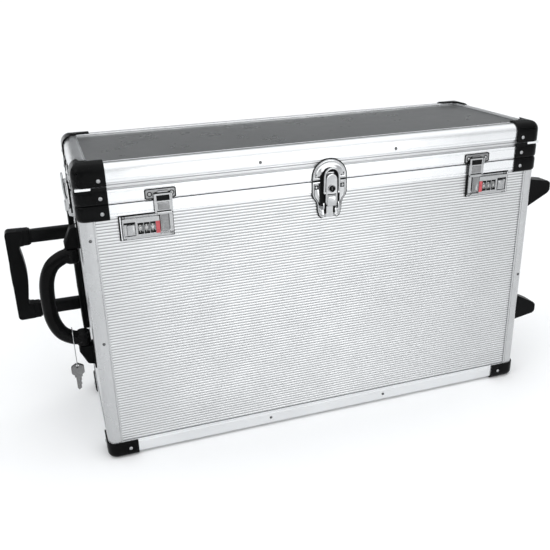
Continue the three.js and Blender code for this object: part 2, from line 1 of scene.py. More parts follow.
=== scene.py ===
"""A rolling aluminium chip case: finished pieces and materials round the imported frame.

Pieces are laid out in millimetres of the case: x from the left end, y from the latched
front and z from the floor. place() turns those into metres of the shared frame.
"""

from functools import partial
from math import cos, pi, radians, sin

import bmesh
import bpy
from mathutils import Matrix, Vector


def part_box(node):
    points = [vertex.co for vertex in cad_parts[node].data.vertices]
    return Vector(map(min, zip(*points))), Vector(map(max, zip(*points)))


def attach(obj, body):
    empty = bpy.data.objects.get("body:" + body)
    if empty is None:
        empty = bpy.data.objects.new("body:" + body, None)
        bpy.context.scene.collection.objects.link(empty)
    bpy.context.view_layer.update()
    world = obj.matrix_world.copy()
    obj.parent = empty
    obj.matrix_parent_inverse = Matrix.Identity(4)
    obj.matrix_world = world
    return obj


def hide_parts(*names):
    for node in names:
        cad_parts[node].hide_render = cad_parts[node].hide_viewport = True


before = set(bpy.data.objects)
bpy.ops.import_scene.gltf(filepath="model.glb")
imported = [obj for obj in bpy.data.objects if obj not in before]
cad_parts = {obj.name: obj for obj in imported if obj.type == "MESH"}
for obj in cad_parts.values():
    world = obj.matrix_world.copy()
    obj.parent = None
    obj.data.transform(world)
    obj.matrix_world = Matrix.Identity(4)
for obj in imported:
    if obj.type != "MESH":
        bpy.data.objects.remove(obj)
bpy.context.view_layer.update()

MM = 0.001
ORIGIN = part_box("bottom_cap_front_left")[0]
FAR = (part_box("bottom_cap_back_right")[1] - ORIGIN) / MM
WIDTH, DEPTH = FAR.x, FAR.y
HEIGHT = (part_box("lid_cap_front_left")[1].z - ORIGIN.z) / MM

# Insets from the case's outer faces: an extrusion's face, back and inner edge, the ribbed
# sheet's face and the edge of it that shows, and a corner cap's skin.
RAIL_FACE, RAIL_BACK, RAIL_EDGE = 2, 3.5, 19.5
SHEET_FACE, SHEET_EDGE = 3.79, 19.3
CAP_SKIN = 0.85
CORNER_RADIUS = 12

RIBS_LOW, RIBS_HIGH, RIB_COUNT = 23.1, 313.2, 82
RIB_PITCH = (RIBS_HIGH - RIBS_LOW) / RIB_COUNT
# Up one rib: the share of its pitch, and how far it stands out from the sheet.
RIB_SHAPE = ((0, 0), (0.2, 0), (0.3, 0.3), (0.45, 0.44), (0.6, 0.47), (0.75, 0.44), (0.9, 0.3))

# The trolley's rods run along the left end at one depth and two heights.
ROD_Y, RODS = 179.0, (143.0, 247.0)

CORNERS = [(f"{depth}_{side}", right, back) for back, depth in enumerate(("front", "back"))
           for right, side in enumerate(("left", "right"))]
WELD_DISTANCE = 2e-6
SHARP_DEGREES = 38


def place(point):
    return ORIGIN + Vector(point) * MM


def case_box(node):
    """A node's lowest and highest corners in case millimetres."""
    return [(corner - ORIGIN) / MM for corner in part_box(node)]


# ---- Node materials ----


class Tree:
    """A node tree, with short calls for the nodes used below."""

    def __init__(self, tree, coordinates):
        self.tree = tree
        self.where = tree.nodes.new("ShaderNodeTexCoord").outputs[coordinates]

    def node(self, kind, **links):
        made = self.tree.nodes.new(kind)
        for name, value in links.items():
            self.feed(made.inputs[name.replace("_", " ")], value)
        return made

    def feed(self, socket, value):
        if isinstance(value, bpy.types.NodeSocket):
            self.tree.links.new(value, socket)
        else:
            socket.default_value = value

    def operate(self, operation, value, number, kind="ShaderNodeMath"):
        made = self.tree.nodes.new(kind)
        made.operation = operation
        self.feed(made.inputs[0], value)
        self.feed(made.inputs[1], number)
        return made.outputs["Value"]

    def height(self):
        return self.node("ShaderNodeSeparateXYZ", Vector=self.where).outputs["Z"]

    def spread(self, value, low, high, start=0.3, end=0.7):
        """Maps start..end to low..high."""
        made = self.node("ShaderNodeMapRange", Value=value)
        for socket, number in zip(made.inputs[1:5], (start, end, low, high)):
            socket.default_value = number
        return made.outputs["Result"]

    def ramp(self, value, *stops):
        made = self.node("ShaderNodeValToRGB", Fac=value)
        points = made.color_ramp.elements
        while len(points) < len(stops):
            points.new(0.5)
        for point, (position, colour) in zip(points, stops):
            point.position = position
            point.color = (*colour, 1)
        return made.outputs["Color"]


class Nodes(Tree):
    """The nodes of a material, in the coordinates of its object."""

    def __init__(self, name, roughness, metallic=0.0, coat=0.0, specular=0.5, sheen=0.0):
        self.material = bpy.data.materials.new(name)
        self.material.use_nodes = True
        super().__init__(self.material.node_tree, "Object")
        self.shader = self.tree.nodes["Principled BSDF"]
        values = {"Roughness": roughness, "Metallic": metallic, "Coat Weight": coat,
                  "Coat Roughness": 0.12, "Specular IOR Level": specular, "Sheen Weight": sheen}
        for socket, value in values.items():
            self.shader.inputs[socket].default_value = value

    def noise(self, scale, stretch=(1, 1, 1), detail=3.0, roughness=0.55):
        where = self.node("ShaderNodeMapping", Vector=self.where, Scale=stretch)
        made = self.node("ShaderNodeTexNoise", Vector=where.outputs["Vector"], Scale=scale,
                         Detail=detail, Roughness=roughness)
        return made.outputs["Fac"]

    def mix(self, share, first, second, blend="MIX"):
        made = self.tree.nodes.new("ShaderNodeMix")
        made.data_type = "RGBA"
        made.blend_type = blend
        for index, value in ((0, share), (6, first), (7, second)):
            self.feed(made.inputs[index], value)
        return made.outputs[2]

    def colour(self, value):
        self.tree.links.new(value, self.shader.inputs["Base Color"])

    def rough(self, value):
        self.tree.links.new(value, self.shader.inputs["Roughness"])

    def bump(self, height, distance, strength=1.0):
        made = self.node("ShaderNodeBump", Height=height, Distance=distance, Strength=strength)
        previous = self.shader.inputs["Normal"].links
        if previous:
            self.tree.links.new(previous[0].from_socket, made.inputs["Normal"])
        self.tree.links.new(made.outputs["Normal"], self.shader.inputs["Normal"])
        return self

    def rib_phase(self):
        """How far up its own rib a point is, from 0 at the foot of a groove to 1 at the next."""
        rise = self.operate("SUBTRACT", self.height(), place((0, 0, RIBS_LOW)).z)
        return self.operate("FRACT", self.operate("DIVIDE", rise, RIB_PITCH * MM), 0)


def grey(level, tint=0.0):
    return (level * (1 - tint), level, level * (1 + tint))


def metal(name, low, high, rough, stretch, tint=0.012, metallic=0.9, fine=900.0, depth=4e-5,
          ribs=False):
    """A satin or polished metal with drawn or brushed lines, faint blotches and smudges. Ribs
    paints shade into the grooves of ribbed sheet, darkening the colour at the foot of each rib."""
    nodes = Nodes(name, rough[0], metallic=metallic)
    lines = nodes.noise(fine, stretch, detail=4.0, roughness=0.7)
    cloud = nodes.noise(9.0, detail=4.0)
    tone = nodes.ramp(lines, (0.3, grey(low, tint)), (0.7, grey(high, tint)))
    stain = nodes.ramp(cloud, (0.35, grey(0.95)), (0.62, grey(1.0)))
    tone = nodes.mix(1.0, tone, stain, "MULTIPLY")
    if ribs:
        # Painted shade: the colour is darkened at the foot of each rib, where the groove lies in
        # shade.
        groove_shade = nodes.ramp(nodes.rib_phase(), (0.0, grey(0.5)), (0.2, grey(0.5)),
                            (0.34, grey(1.0)), (0.86, grey(1.0)), (1.0, grey(0.5)))
        tone = nodes.mix(1.0, tone, groove_shade, "MULTIPLY")
    nodes.colour(tone)
    nodes.rough(nodes.spread(nodes.noise(34.0, detail=5.0), rough[0], rough[1], 0.35, 0.68))
    return nodes.bump(lines, depth).material


def moulded(name, low, high, rough, grain, depth, coat=0.0, specular=0.3, edge=0.05, tint=0.05):
    """Black moulded plastic or rubber, with faint blotches, grain and a painted highlight on
    convex edges.
    """
    nodes = Nodes(name, rough[0], coat=coat, specular=specular)
    cloud = nodes.noise(28.0, detail=5.0)
    tone = nodes.ramp(cloud, (0.35, grey(low, tint)), (0.7, grey(high, tint)))
    # Painted highlight: convex edges, found by pointiness, are lightened towards the edge colour.
    pointed = nodes.tree.nodes.new("ShaderNodeNewGeometry").outputs["Pointiness"]
    edge_highlight = nodes.spread(pointed, 0.0, 0.55, 0.53, 0.62)
    nodes.colour(nodes.mix(edge_highlight, tone, (*grey(edge, tint), 1)))
    nodes.rough(nodes.spread(nodes.noise(60.0, detail=4.0), rough[0], rough[1]))
    return nodes.bump(nodes.noise(grain, detail=2.0), depth).material


def cloth():
    """Black flocked cloth: crossed threads, nap and a little lint."""
    nodes = Nodes("lining_cloth", 0.95, specular=0.2, sheen=0.5)
    threads = []
    for axis in ("X", "Z"):
        wave = nodes.node("ShaderNodeTexWave", Vector=nodes.where, Scale=260.0, Distortion=1.4,
                          Detail=2.0, Detail_Scale=2.0)
        wave.bands_direction = axis
        threads.append(wave.outputs["Fac"])
    weave = nodes.mix(0.5, *threads)
    tone = nodes.ramp(weave, (0.2, grey(0.007)), (0.8, grey(0.03)))
    lint = nodes.ramp(nodes.noise(420.0), (0.66, grey(0.0)), (0.74, grey(0.05)))
    nodes.colour(nodes.mix(0.6, tone, lint, "ADD"))
    nodes.rough(nodes.spread(nodes.noise(40.0), 0.85, 1.0))
    return nodes.bump(weave, 1.5e-4).bump(nodes.noise(70.0), 4e-4, 0.4).material


def enamel(name, dark, light, rough=0.3):
    nodes = Nodes(name, rough, coat=0.4)
    nodes.colour(nodes.ramp(nodes.noise(260.0), (0.3, dark), (0.7, light)))
    nodes.rough(nodes.spread(nodes.noise(90.0), rough, rough + 0.2))
    return nodes.bump(nodes.noise(500.0), 3e-5).material


plated = partial(metal, stretch=(1, 1, 1), fine=300.0, depth=1e-5, metallic=1.0)

RIBBED = metal("ribbed_aluminium_sheet", 0.62, 0.69, (0.32, 0.42), (1.5, 1.5, 40), fine=120.0,
               ribs=True, depth=1e-5)
# Painted shade: a slightly darker copy of the ribbed sheet for the end panels.
RIBBED_END = metal("ribbed_aluminium_end_shaded", 0.60, 0.68, (0.36, 0.46), (1.5, 1.5, 40), fine=120.0,
                   ribs=True, depth=1e-5)
# Painted reflection: the lid top's colour is set far darker than the other aluminium to show the
# dim sky it reflects.
SHEET = metal("lid_top_sheet_darkened", 0.30, 0.34, (0.27, 0.34), (2, 40, 2), fine=160.0, depth=8e-6)
RAIL = metal("satin_rail", 0.77, 0.82, (0.20, 0.27), (1.5, 40, 40), fine=60.0, depth=3e-6)
# Painted shade: the posts are the rails' satin extrusion given a much darker colour.
POST = metal("satin_post_shaded", 0.47, 0.53, (0.24, 0.32), (40, 40, 1.5), fine=60.0, depth=3e-6)
PLATE = plated("plated_latch_case", 0.36, 0.44, (0.16, 0.3))
# Partly painted shade: on the dial wheels this darker plated metal is their own tone; on the latch
# lever and the strike the darker tone is painted shade against the plate.
LEVER = plated("plated_lever", 0.20, 0.27, (0.16, 0.3))
CHROME = plated("plated_pressing", 0.42, 0.50, (0.10, 0.24))
STEEL = metal("nickel_steel", 0.45, 0.58, (0.24, 0.42), (30, 3, 3), fine=90.0, metallic=1.0)
# Painted shade: a near-black metal for places that lie in shade, the bottom panel and the lock's
# keyway.
SHADOWED = metal("painted_shade_plate", 0.07, 0.12, (0.4, 0.6), (8, 8, 8), fine=60.0)
DULL = metal("dull_rivet", 0.09, 0.16, (0.3, 0.5), (3, 3, 3), fine=300.0, metallic=1.0)
WORN = metal("worn_key_brass", 0.10, 0.34, (0.3, 0.5), (8, 8, 8), tint=0.0, fine=130.0,
             metallic=1.0, depth=1e-4)
CAP = moulded("gloss_moulding", 0.0012, 0.003, (0.13, 0.24), 900.0, 1e-5, coat=0.02,
              specular=0.06, edge=0.012)
PLASTIC = moulded("grained_moulding", 0.002, 0.005, (0.36, 0.5), 1500.0, 5e-5, specular=0.05,
                  edge=0.012)
GRIP = moulded("polished_grip", 0.0012, 0.003, (0.16, 0.28), 1200.0, 2e-5, coat=0.02,
               specular=0.07, edge=0.012)
ROD = moulded("painted_tube", 0.0015, 0.004, (0.24, 0.36), 1800.0, 3e-5, specular=0.06, edge=0.012)
RUBBER = moulded("tyre_rubber", 0.010, 0.022, (0.62, 0.80), 700.0, 1.6e-4, specular=0.15,
                 edge=0.04)
CLOTH = cloth()
RED = enamel("red_enamel", (0.36, 0.03, 0.04), (0.50, 0.06, 0.075))
DIGIT = enamel("digit_paint", (0.70, 0.70, 0.68), (0.85, 0.85, 0.83), 0.5)


# ---- Forms: lists of points in case millimetres, and the faces between them ----


def join(*forms):
    points, faces = [], []
    for some, sides in forms:
        shift = len(points)
        points += some
        faces += [tuple(i + shift for i in side) for side in sides]
    return points, faces


def moved(form, change):
    return [change(*point) for point in form[0]], form[1]


def cornered(form, right, back):
    return moved(form, lambda x, y, z: (WIDTH - x if right else x, DEPTH - y if back else y, z))


def loft(rings, closed=True, capped=True):
    count = len(rings[0])
    faces = []
    for level in range(len(rings) - 1):
        base = level * count
        for i in range(count if closed else count - 1):
            j = (i + 1) % count
            faces.append((base + i, base + j, base + count + j, base + count + i))
    if capped:
        last = (len(rings) - 1) * count
        faces += [tuple(range(count)), tuple(range(last, last + count))]
    return [point for ring in rings for point in ring], faces


def lift(axis, first, second, along):
    return {"x": (along, first, second), "y": (first, along, second),
            "z": (first, second, along)}[axis]


def prism(outline, axis, low, high):
    return loft([[lift(axis, a, b, level) for a, b in outline] for level in (low, high)])


def slab(xs, ys, zs):
    outline = [(xs[0], zs[0]), (xs[1], zs[0]), (xs[1], zs[1]), (xs[0], zs[1])]
    return prism(outline, "y", *ys)


def rounded(a0, a1, b0, b1, radius, steps=5):
    points = []
    for centre, start in (((a1 - radius, b1 - radius), 0), ((a0 + radius, b1 - radius), 90),
                          ((a0 + radius, b0 + radius), 180), ((a1 - radius, b0 + radius), 270)):
        points += arc(centre, radius, start, start + 90, steps)
    return points


def arc(centre, radius, start, end, steps):
    angles = [radians(start + (end - start) * i / steps) for i in range(steps + 1)]
    return [(centre[0] + radius * cos(a), centre[1] + radius * sin(a)) for a in angles]


def lathe(profile, axis, centre, segments=24):
    """Turns a profile of (radius, distance along the axis) round that axis."""
    rings = []
    for radius, along in profile:
        turn = [2 * pi * i / segments for i in range(segments)]
        rings.append([lift(axis, centre[0] + radius * cos(a),
                           centre[1] + radius * sin(a), along) for a in turn])
    return loft(rings)


def both_ends(profile):
    """A whole profile for lathe() from the half of it below the middle."""
    return profile + [(radius, -along) for radius, along in reversed(profile)]


def pierced(axis, low, high, firsts, seconds, holes):
    """A plate on a grid of cuts, with the cells listed in holes left open."""
    columns, rows = len(firsts) - 1, len(seconds) - 1
    solid = {(i, j) for i in range(columns) for j in range(rows)} - set(holes)
    index, points, faces = {}, [], []

    def corner(i, j, level):
        if (i, j, level) not in index:
            index[i, j, level] = len(points)
            points.append(lift(axis, firsts[i], seconds[j], (low, high)[level]))
        return index[i, j, level]

    for i, j in sorted(solid):
        square = [(i, j), (i + 1, j), (i + 1, j + 1), (i, j + 1)]
        faces += [tuple(corner(*c, level) for c in square) for level in (0, 1)]
        beside = [(i, j - 1), (i + 1, j), (i, j + 1), (i - 1, j)]
        for side, cell in enumerate(beside):
            if cell not in solid:
                a, b = square[side], square[(side + 1) % 4]
                faces.append((corner(*a, 0), corner(*b, 0), corner(*b, 1), corner(*a, 1)))
    return points, faces


def stamped(outline, levels, axis="y"):
    """A pressed plate: the outline drawn in by so much at each level along the axis."""
    firsts, seconds = zip(*outline)
    middle = [(min(c) + max(c)) / 2 for c in (firsts, seconds)]
    half = [(max(c) - min(c)) / 2 for c in (firsts, seconds)]
    rings = []
    for draw, level in levels:
        share = [1 - draw / size for size in half]
        rings.append([lift(axis, middle[0] + (a - middle[0]) * share[0],
                           middle[1] + (b - middle[1]) * share[1], level) for a, b in outline])
    return loft(rings)


def smooth_path(knots, steps=6, closed=False):
    """Catmull-Rom points through the knots."""
    knots = [Vector(k) for k in knots]
    if closed:
        ends = [knots[-1], *knots, *knots[:2]]
    else:
        ends = [knots[0] * 2 - knots[1], *knots, knots[-1] * 2 - knots[-2]]
    path = []
    for a, b, c, d in zip(ends, ends[1:], ends[2:], ends[3:]):
        for i in range(steps):
            t = i / steps
            path.append(0.5 * (2 * b + (c - a) * t + (2 * a - 5 * b + 4 * c - d) * t * t
                               + (3 * b - a - 3 * c + d) * t ** 3))
    return path if closed else path + [knots[-1]]


def sweep(path, section, level, closed=False):
    """Carries a section of (level-wise, other) offsets along a path. Level is the constant
    direction that the path never turns towards."""
    path = [Vector(p) for p in path]
    level = Vector(level)
    count = len(path)
    rings = []
    for i, point in enumerate(path):
        before = path[(i - 1) % count] if closed else path[max(i - 1, 0)]
        after = path[(i + 1) % count] if closed else path[min(i + 1, count - 1)]
        side = (after - before).normalized().cross(level).normalized()
        rings.append([tuple(point + level * a + side * b) for a, b in section])
    if closed:
        rings.append(rings[0])
    return loft(rings, capped=not closed)


def circle(radius, count=16, squash=1.0):
    turn = [2 * pi * i / count for i in range(count)]
    return [(radius * cos(a), radius * squash * sin(a)) for a in turn]


def added(name, data):
    made = bpy.data.objects.new(name, data)
    bpy.context.scene.collection.objects.link(made)
    return made


def built(name, work, look):
    """A new object from a bmesh, in one material."""
    mesh = bpy.data.meshes.new(name)
    work.to_mesh(mesh)
    work.free()
    mesh.materials.append(look)
    return added(name, mesh)


def piece(name, look, body, *forms, node=None, slot=None, bevel=0.0, segments=2, shell=0.0,
          sharp=SHARP_DEGREES):
    """One object made of the forms, riding on a body. It stands for the CAD node, if any."""
    points, sides = join(*forms)
    work = bmesh.new()
    corners = [work.verts.new(place(point)) for point in points]
    for side in sides:
        work.faces.new([corners[i] for i in side])
    bmesh.ops.remove_doubles(work, verts=work.verts, dist=WELD_DISTANCE)
    bmesh.ops.recalc_face_normals(work, faces=work.faces)
    made = built(name, work, look)
    made.data.shade_smooth()
    made.data.set_sharp_from_angle(angle=radians(sharp))
    if shell:
        solid = made.modifiers.new("shell", "SOLIDIFY")
        solid.thickness = shell * MM
        solid.offset = 0
    if bevel:
        round_edges(made, bevel, segments)
    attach(made, body)
    if node:
        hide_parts(node)


def round_edges(thing, width, segments=2):
    edge = thing.modifiers.new("rounded_edges", "BEVEL")
    edge.width = width * MM
    edge.segments = segments
    edge.limit_method = "ANGLE"
    edge.angle_limit = radians(SHARP_DEGREES)
    edge.harden_normals = True


def dress(node, look, bevel=0.0):
    """Gives a CAD node that keeps its own shape a material and, if asked, rounded edges."""
    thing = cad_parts[node]
    thing.data.materials.clear()
    thing.data.materials.append(look)
    if bevel:
        thing.modifiers.new("welded", "WELD").merge_threshold = WELD_DISTANCE
        round_edges(thing, bevel)


def screw_head(axis, centre, face, radius, out=-1):
    """A domed cross-head screw. Face is where it sits and out the way that it looks."""
    rings = []
    spokes, cross_width, cross_reach, cross_depth = 32, radius * 0.13, radius * 0.6, 0.75
    for r, rise in ((radius, 0.0), (radius, 0.35), (radius * 0.85, 0.8), (radius * 0.62, 1.05),
                    (radius * 0.58, 1.08), (radius * 0.3, 1.15), (radius * 0.12, 1.15)):
        ring = []
        for i in range(spokes):
            a = 2 * pi * (i + 0.5) / spokes
            u, v = r * cos(a), r * sin(a)
            in_cross = min(abs(u), abs(v)) < cross_width and r < cross_reach
            depth = cross_depth if in_cross else 0.0
            ring.append(lift(axis, centre[0] + u, centre[1] + v, face + out * (rise - depth)))
        rings.append(ring)
    return loft(rings)


def rivet(axis, centre, face, radius, out=-1):
    profile = [(radius, 0), (radius, 0.2), (radius * 0.85, 0.6), (radius * 0.5, 0.9),
               (radius * 0.15, 1.0)]
    return lathe([(r, face + out * rise) for r, rise in profile], axis, centre, 16)


# ---- Camera, floor and light ----


def camera():
    azimuth, elevation, roll = (radians(a) for a in (-17.917, 22.445, -1.56))
    forward = Vector((-sin(azimuth) * cos(elevation), cos(azimuth) * cos(elevation),
                      -sin(elevation)))
    right = Vector((cos(azimuth), sin(azimuth), 0))
    up = right.cross(forward)
    across = cos(roll) * right + sin(roll) * up
    upward = -sin(roll) * right + cos(roll) * up
    data = bpy.data.cameras.new("camera")
    data.lens = 46.30
    data.sensor_width = 36
    made = added("camera", data)
    made.matrix_world = Matrix.Translation(place((-22.0, -758.4, 546.0))) @ Matrix(
        (across, upward, -forward)).transposed().to_4x4()
    bpy.context.scene.camera = made


def floor():
    """A wide pale floor that curves up far away, less so behind the case, where the lid's top
    reflects the dim sky over it."""
    nodes = Nodes("pale_floor", 0.9, specular=0.05)
    nodes.colour(nodes.ramp(nodes.noise(3.0), (0.3, grey(0.93)), (0.7, grey(0.95))))
    work = bmesh.new()
    spokes, low_rim, high_rim = 48, 1.8, 6.0
    turn = [2 * pi * i / spokes for i in range(spokes)]
    limits = [low_rim + (high_rim - low_rim) * min(max((0.75 - sin(a)) / 0.5, 0), 1) for a in turn]
    rings = [[work.verts.new((radius * cos(a), radius * sin(a), min(rise, limit)))
              for a, limit in zip(turn, limits)]
             for radius, rise in ((2, 0), (6, 0), (10, 0), (10.8, 0.12), (11.5, 0.5), (12, 1.1),
                                  (12.2, 1.8), (12.4, 3.2), (12.5, high_rim))]
    work.faces.new(rings[0])
    for inner, outer in zip(rings, rings[1:]):
        for i in range(spokes):
            j = (i + 1) % spokes
            work.faces.new((inner[i], outer[i], outer[j], inner[j]))
    made = built("floor", work, nodes.material)
    made.data.shade_smooth()


def lamp(name, position, target, size, power):
    data = bpy.data.lights.new(name, "AREA")
    data.size = size
    data.energy = power
    made = added(name, data)
    made.location = position
    aim = Vector(target) - Vector(position)
    made.rotation_euler = aim.to_track_quat("-Z", "Y").to_euler()


def light():
    """A soft key in front, a weaker lamp high on the left, and a sky that is brightest overhead
    and dim low down behind."""
    lamp("key", (0.45, -1.7, 0.55), (0.05, 0, 0.2), 1.0, 7)
    lamp("side", (-1.6, -0.6, 1.5), (0, 0, 0.15), 1.0, 3)
    world = bpy.data.worlds.new("studio")
    world.use_nodes = True
    sky = Tree(world.node_tree, "Generated")
    behind = sky.operate("DOT_PRODUCT", sky.where, (0.1, 0.8, -0.6), "ShaderNodeVectorMath")
    colour = sky.ramp(sky.spread(behind, 1.0, 0.0, -0.1, 0.5), (0, (0.22, 0.23, 0.235)),
                      (1, (0.97, 0.985, 1.0)))
    background = sky.tree.nodes["Background"]
    sky.feed(background.inputs["Color"], colour)
    sky.feed(background.inputs["Strength"], sky.spread(sky.height(), 0.35, 1.6, 0, 1))
    bpy.context.scene.world = world
    bpy.context.scene.view_settings.view_transform = "Standard"


# ---- Rails, posts and panels ----


def plan(inset, z):
    """The case's outline seen from above, drawn in by inset, at height z."""
    radius = max(CORNER_RADIUS - inset, 0.6)
    corners = rounded(inset, WIDTH - inset, inset, DEPTH - inset, radius, 8)
    return [(x, y, z) for x, y in corners]


def hoop(profile):
    """A closed band all round the case, from a profile of (inset, z)."""
    rings = [plan(inset, z) for inset, z in profile]
    return loft(rings + rings[:1], capped=False)


def rails():
    top = HEIGHT - RAIL_FACE
    round_out, round_in = 10, 8.5
    outer = arc((CORNER_RADIUS, top - round_out), round_out, 180, 90, 8)
    inner = arc((CORNER_RADIUS, top - round_out), round_in, 90, 180, 6)
    for name, look, body, node, profile in (
        ("lid_edge_rail", RAIL, "lid", "lid_edge_frame", [
            (3.5, 352), (2.2, 352), (2, 352.3), (2, 354.2), (2.4, 354.5), (2.4, 355.2),
            (2, 355.5), *outer, (16.2, top), (16.6, top - 0.4), (17.2, top - 0.4), (17.6, top),
            (19.3, top), (RAIL_EDGE, top - 0.2), (RAIL_EDGE, top - 1.5), *inner]),
        ("lid_rim_rail", RAIL, "lid", "lid_rim", [
            (3.5, 343.5), (2.3, 343.5), (2, 343.2), (2, 341.2), (2.35, 340.9), (2.35, 340.3),
            (2, 340), (2, 330.5), (2.3, 330.2), (2.3, 329.7), (2, 329.4), (2, 329.0),
            (2.6, 328.5), (3.2, 328.4), (3.2, 327.8), (13.5, 327.8), (13.5, 329.6),
            (3.5, 329.6)]),
        ("body_rim_rail", RAIL, "case", "body_rim", [
            (3.5, 313.3), (2.3, 313.3), (2, 313.6), (2, 315.6), (2.35, 315.9), (2.35, 316.5),
            (2, 316.8), (2, 326.2), (2.6, 326.8), (3.2, 326.9), (3.2, 327.5), (13.5, 327.5),
            (13.5, 325.7), (3.5, 325.7)]),
        # Painted shade: a black strip in the seam between the lid rim and the body rim stands in
        # for the shade in that gap.
        ("rim_seam_shade", PLASTIC, "case", None, [
            (2.9, 326.95), (2.9, 327.45), (3.4, 327.45), (3.4, 326.95)]),
        ("bottom_rail", RAIL, "case", "bottom_frame", [
            (3.5, 23), (2.2, 23), (2, 22.8), (2, 20.8), (2.4, 20.4), (2.4, 19.8), (2, 19.4),
            *arc((8, 8), 6, 180, 270, 8), (RAIL_EDGE, RAIL_FACE), (RAIL_EDGE, RAIL_BACK),
            *arc((8, 8), 4.5, 270, 180, 6)]),
    ):
        piece(name, look, body, hoop(profile), node=node)
    band = [(SHEET_FACE, 343.7)]
    for z in (345.0, 347.7, 350.4):
        band += [(SHEET_FACE, z - 1.1), (3.5, z - 0.8), (3.28, z), (3.5, z + 0.8),
                 (SHEET_FACE, z + 1.1)]
    piece("lid_band", RIBBED, "lid", hoop(band + [(SHEET_FACE, 351.9), (4.3, 351.9),
                                                  (4.3, 343.7)]))

    leg = [(RAIL_EDGE, RAIL_BACK), (RAIL_EDGE, 2.25), (19.25, 2), (17.9, 2), (17.65, 2.45),
           (17.1, 2.45), (16.85, 2)]
    centre = (CORNER_RADIUS, CORNER_RADIUS)
    section = leg + arc(centre, round_out, 270, 180, 8) + [(y, x) for x, y in reversed(leg)]
    section += arc(centre, round_in, 180, 270, 6)
    post = prism(section, "z", RIBS_LOW, RIBS_HIGH)
    for at, right, back in CORNERS:
        piece(f"post_{at}", POST, "case", cornered(post, right, back), node=f"corner_post_{at}")


def ribbed(length, gaps=()):
    """The ribbed sheet of a side of that length, as (across, inset, z). Gaps are (start, end,
    bottom, top) left out of it."""
    rows = [(RIBS_LOW + i * RIB_PITCH + up * RIB_PITCH, SHEET_FACE - out)
            for i in range(RIB_COUNT) for up, out in RIB_SHAPE]
    rows.append((RIBS_HIGH, SHEET_FACE))
    edges = [edge for gap in gaps for edge in gap[:2]]
    columns = sorted({SHEET_EDGE, length - SHEET_EDGE, *edges})
    points = [(a, y, z) for z, y in rows for a in columns]
    faces = []
    for r, (below, above) in enumerate(zip(rows, rows[1:])):
        for c, (a0, a1) in enumerate(zip(columns, columns[1:])):
            middle, height = (a0 + a1) / 2, (below[0] + above[0]) / 2
            if not any(g[0] < middle < g[1] and g[2] < height < g[3] for g in gaps):
                k = r * len(columns) + c
                faces.append((k, k + 1, k + 1 + len(columns), k + len(columns)))
    return points, faces


def panels():
    wells = [(62.8, 86.2, 290, 305), (WIDTH - 86.2, WIDTH - 62.8, 290, 305)]
    escutcheon = (160, DEPTH - SHEET_EDGE, 118, 272)
    sides = (
        ("front", RIBBED, ribbed(WIDTH, wells)),
        ("back", RIBBED, moved(ribbed(WIDTH), lambda x, inset, z: (x, DEPTH - inset, z))),
        ("left_end", RIBBED_END,
         moved(ribbed(DEPTH, [escutcheon]), lambda y, inset, z: (inset, y, z))),
        ("right_end", RIBBED_END,
         moved(ribbed(DEPTH), lambda y, inset, z: (WIDTH - inset, y, z))),
    )
    for name, look, form in sides:
        piece(f"{name}_ribs", look, "case", form, sharp=60)
        dress(f"{name}_panel", look)
    # Painted shade: the bottom panel takes the near-black metal because it lies in shade.
    dress("bottom_panel", SHADOWED)
    dress("lid_panel", SHEET)
    for leaf in ("hinge_body_leaf", "hinge_lid_leaf"):
        dress(leaf, STEEL)

    first, pitch, count = 79, 39.3, 12
    for body, height in (("case", 319.2), ("lid", 336.8)):
        heads = [screw_head("y", (first + i * pitch, height), DEPTH - 0.45, 1.9, 1)
                 for i in range(count)]
        piece(f"hinge_{body}_screws", DULL, body, *heads)

    studs = [rivet("y", at, 2, 1.9) for at in (
        (210, 357), (382, 357), (213, 13), (377, 13), (12, 288.5), (12, 161), (580, 162))]
    for_lid, for_case = studs[:2], studs[2:]
    piece("lid_rivets", DULL, "lid", *for_lid, *(cornered(s, False, True) for s in for_lid))
    piece("case_rivets", DULL, "case", *for_case)


# ---- Lining ----


def quilt(firsts, seconds, cells, base, rise, lay):
    """A cloth-covered foam panel on firsts x seconds: crowned between its sewn channels, with
    the cells counted each way, and flat behind. Lay turns (a, b, level) into a point."""
    step, channel, fullness = 7.0, 0.25, 0.35
    counts = [max(cell * 6, round((high - low) / step))
              for (low, high), cell in zip((firsts, seconds), cells)]

    def crown(i, count, cell):
        share = i / count * cell % 1.0
        return sin(pi * min(share, 1 - share)) ** fullness if 0 < share < 1 else 0.0

    def level(i, j):
        full = crown(i, counts[0], cells[0]) * crown(j, counts[1], cells[1])
        return base + rise * (channel + (1 - channel) * full)

    spans = [[low + (high - low) * i / count for i in range(count + 1)]
             for (low, high), count in zip((firsts, seconds), counts)]
    wide = counts[0] + 1
    points = [lay(a, b, level(i, j)) for j, b in enumerate(spans[1])
              for i, a in enumerate(spans[0])]
    faces = [(k, k + 1, k + 1 + wide, k + wide) for j in range(counts[1])
             for k in range(j * wide, j * wide + counts[0])]
    rim = list(range(counts[0])) + [j * wide + counts[0] for j in range(counts[1])]
    last = counts[1] * wide
    rim += [last + i for i in range(counts[0], 0, -1)]
    rim += [j * wide for j in range(counts[1], 0, -1)]
    start = len(points)
    for k in rim:
        j, i = divmod(k, wide)
        points.append(lay(spans[0][i], spans[1][j], base))
    for n in range(len(rim)):
        m = (n + 1) % len(rim)
        faces.append((rim[n], rim[m], start + m, start + n))
    faces.append(tuple(range(start, start + len(rim))))
    return points, faces


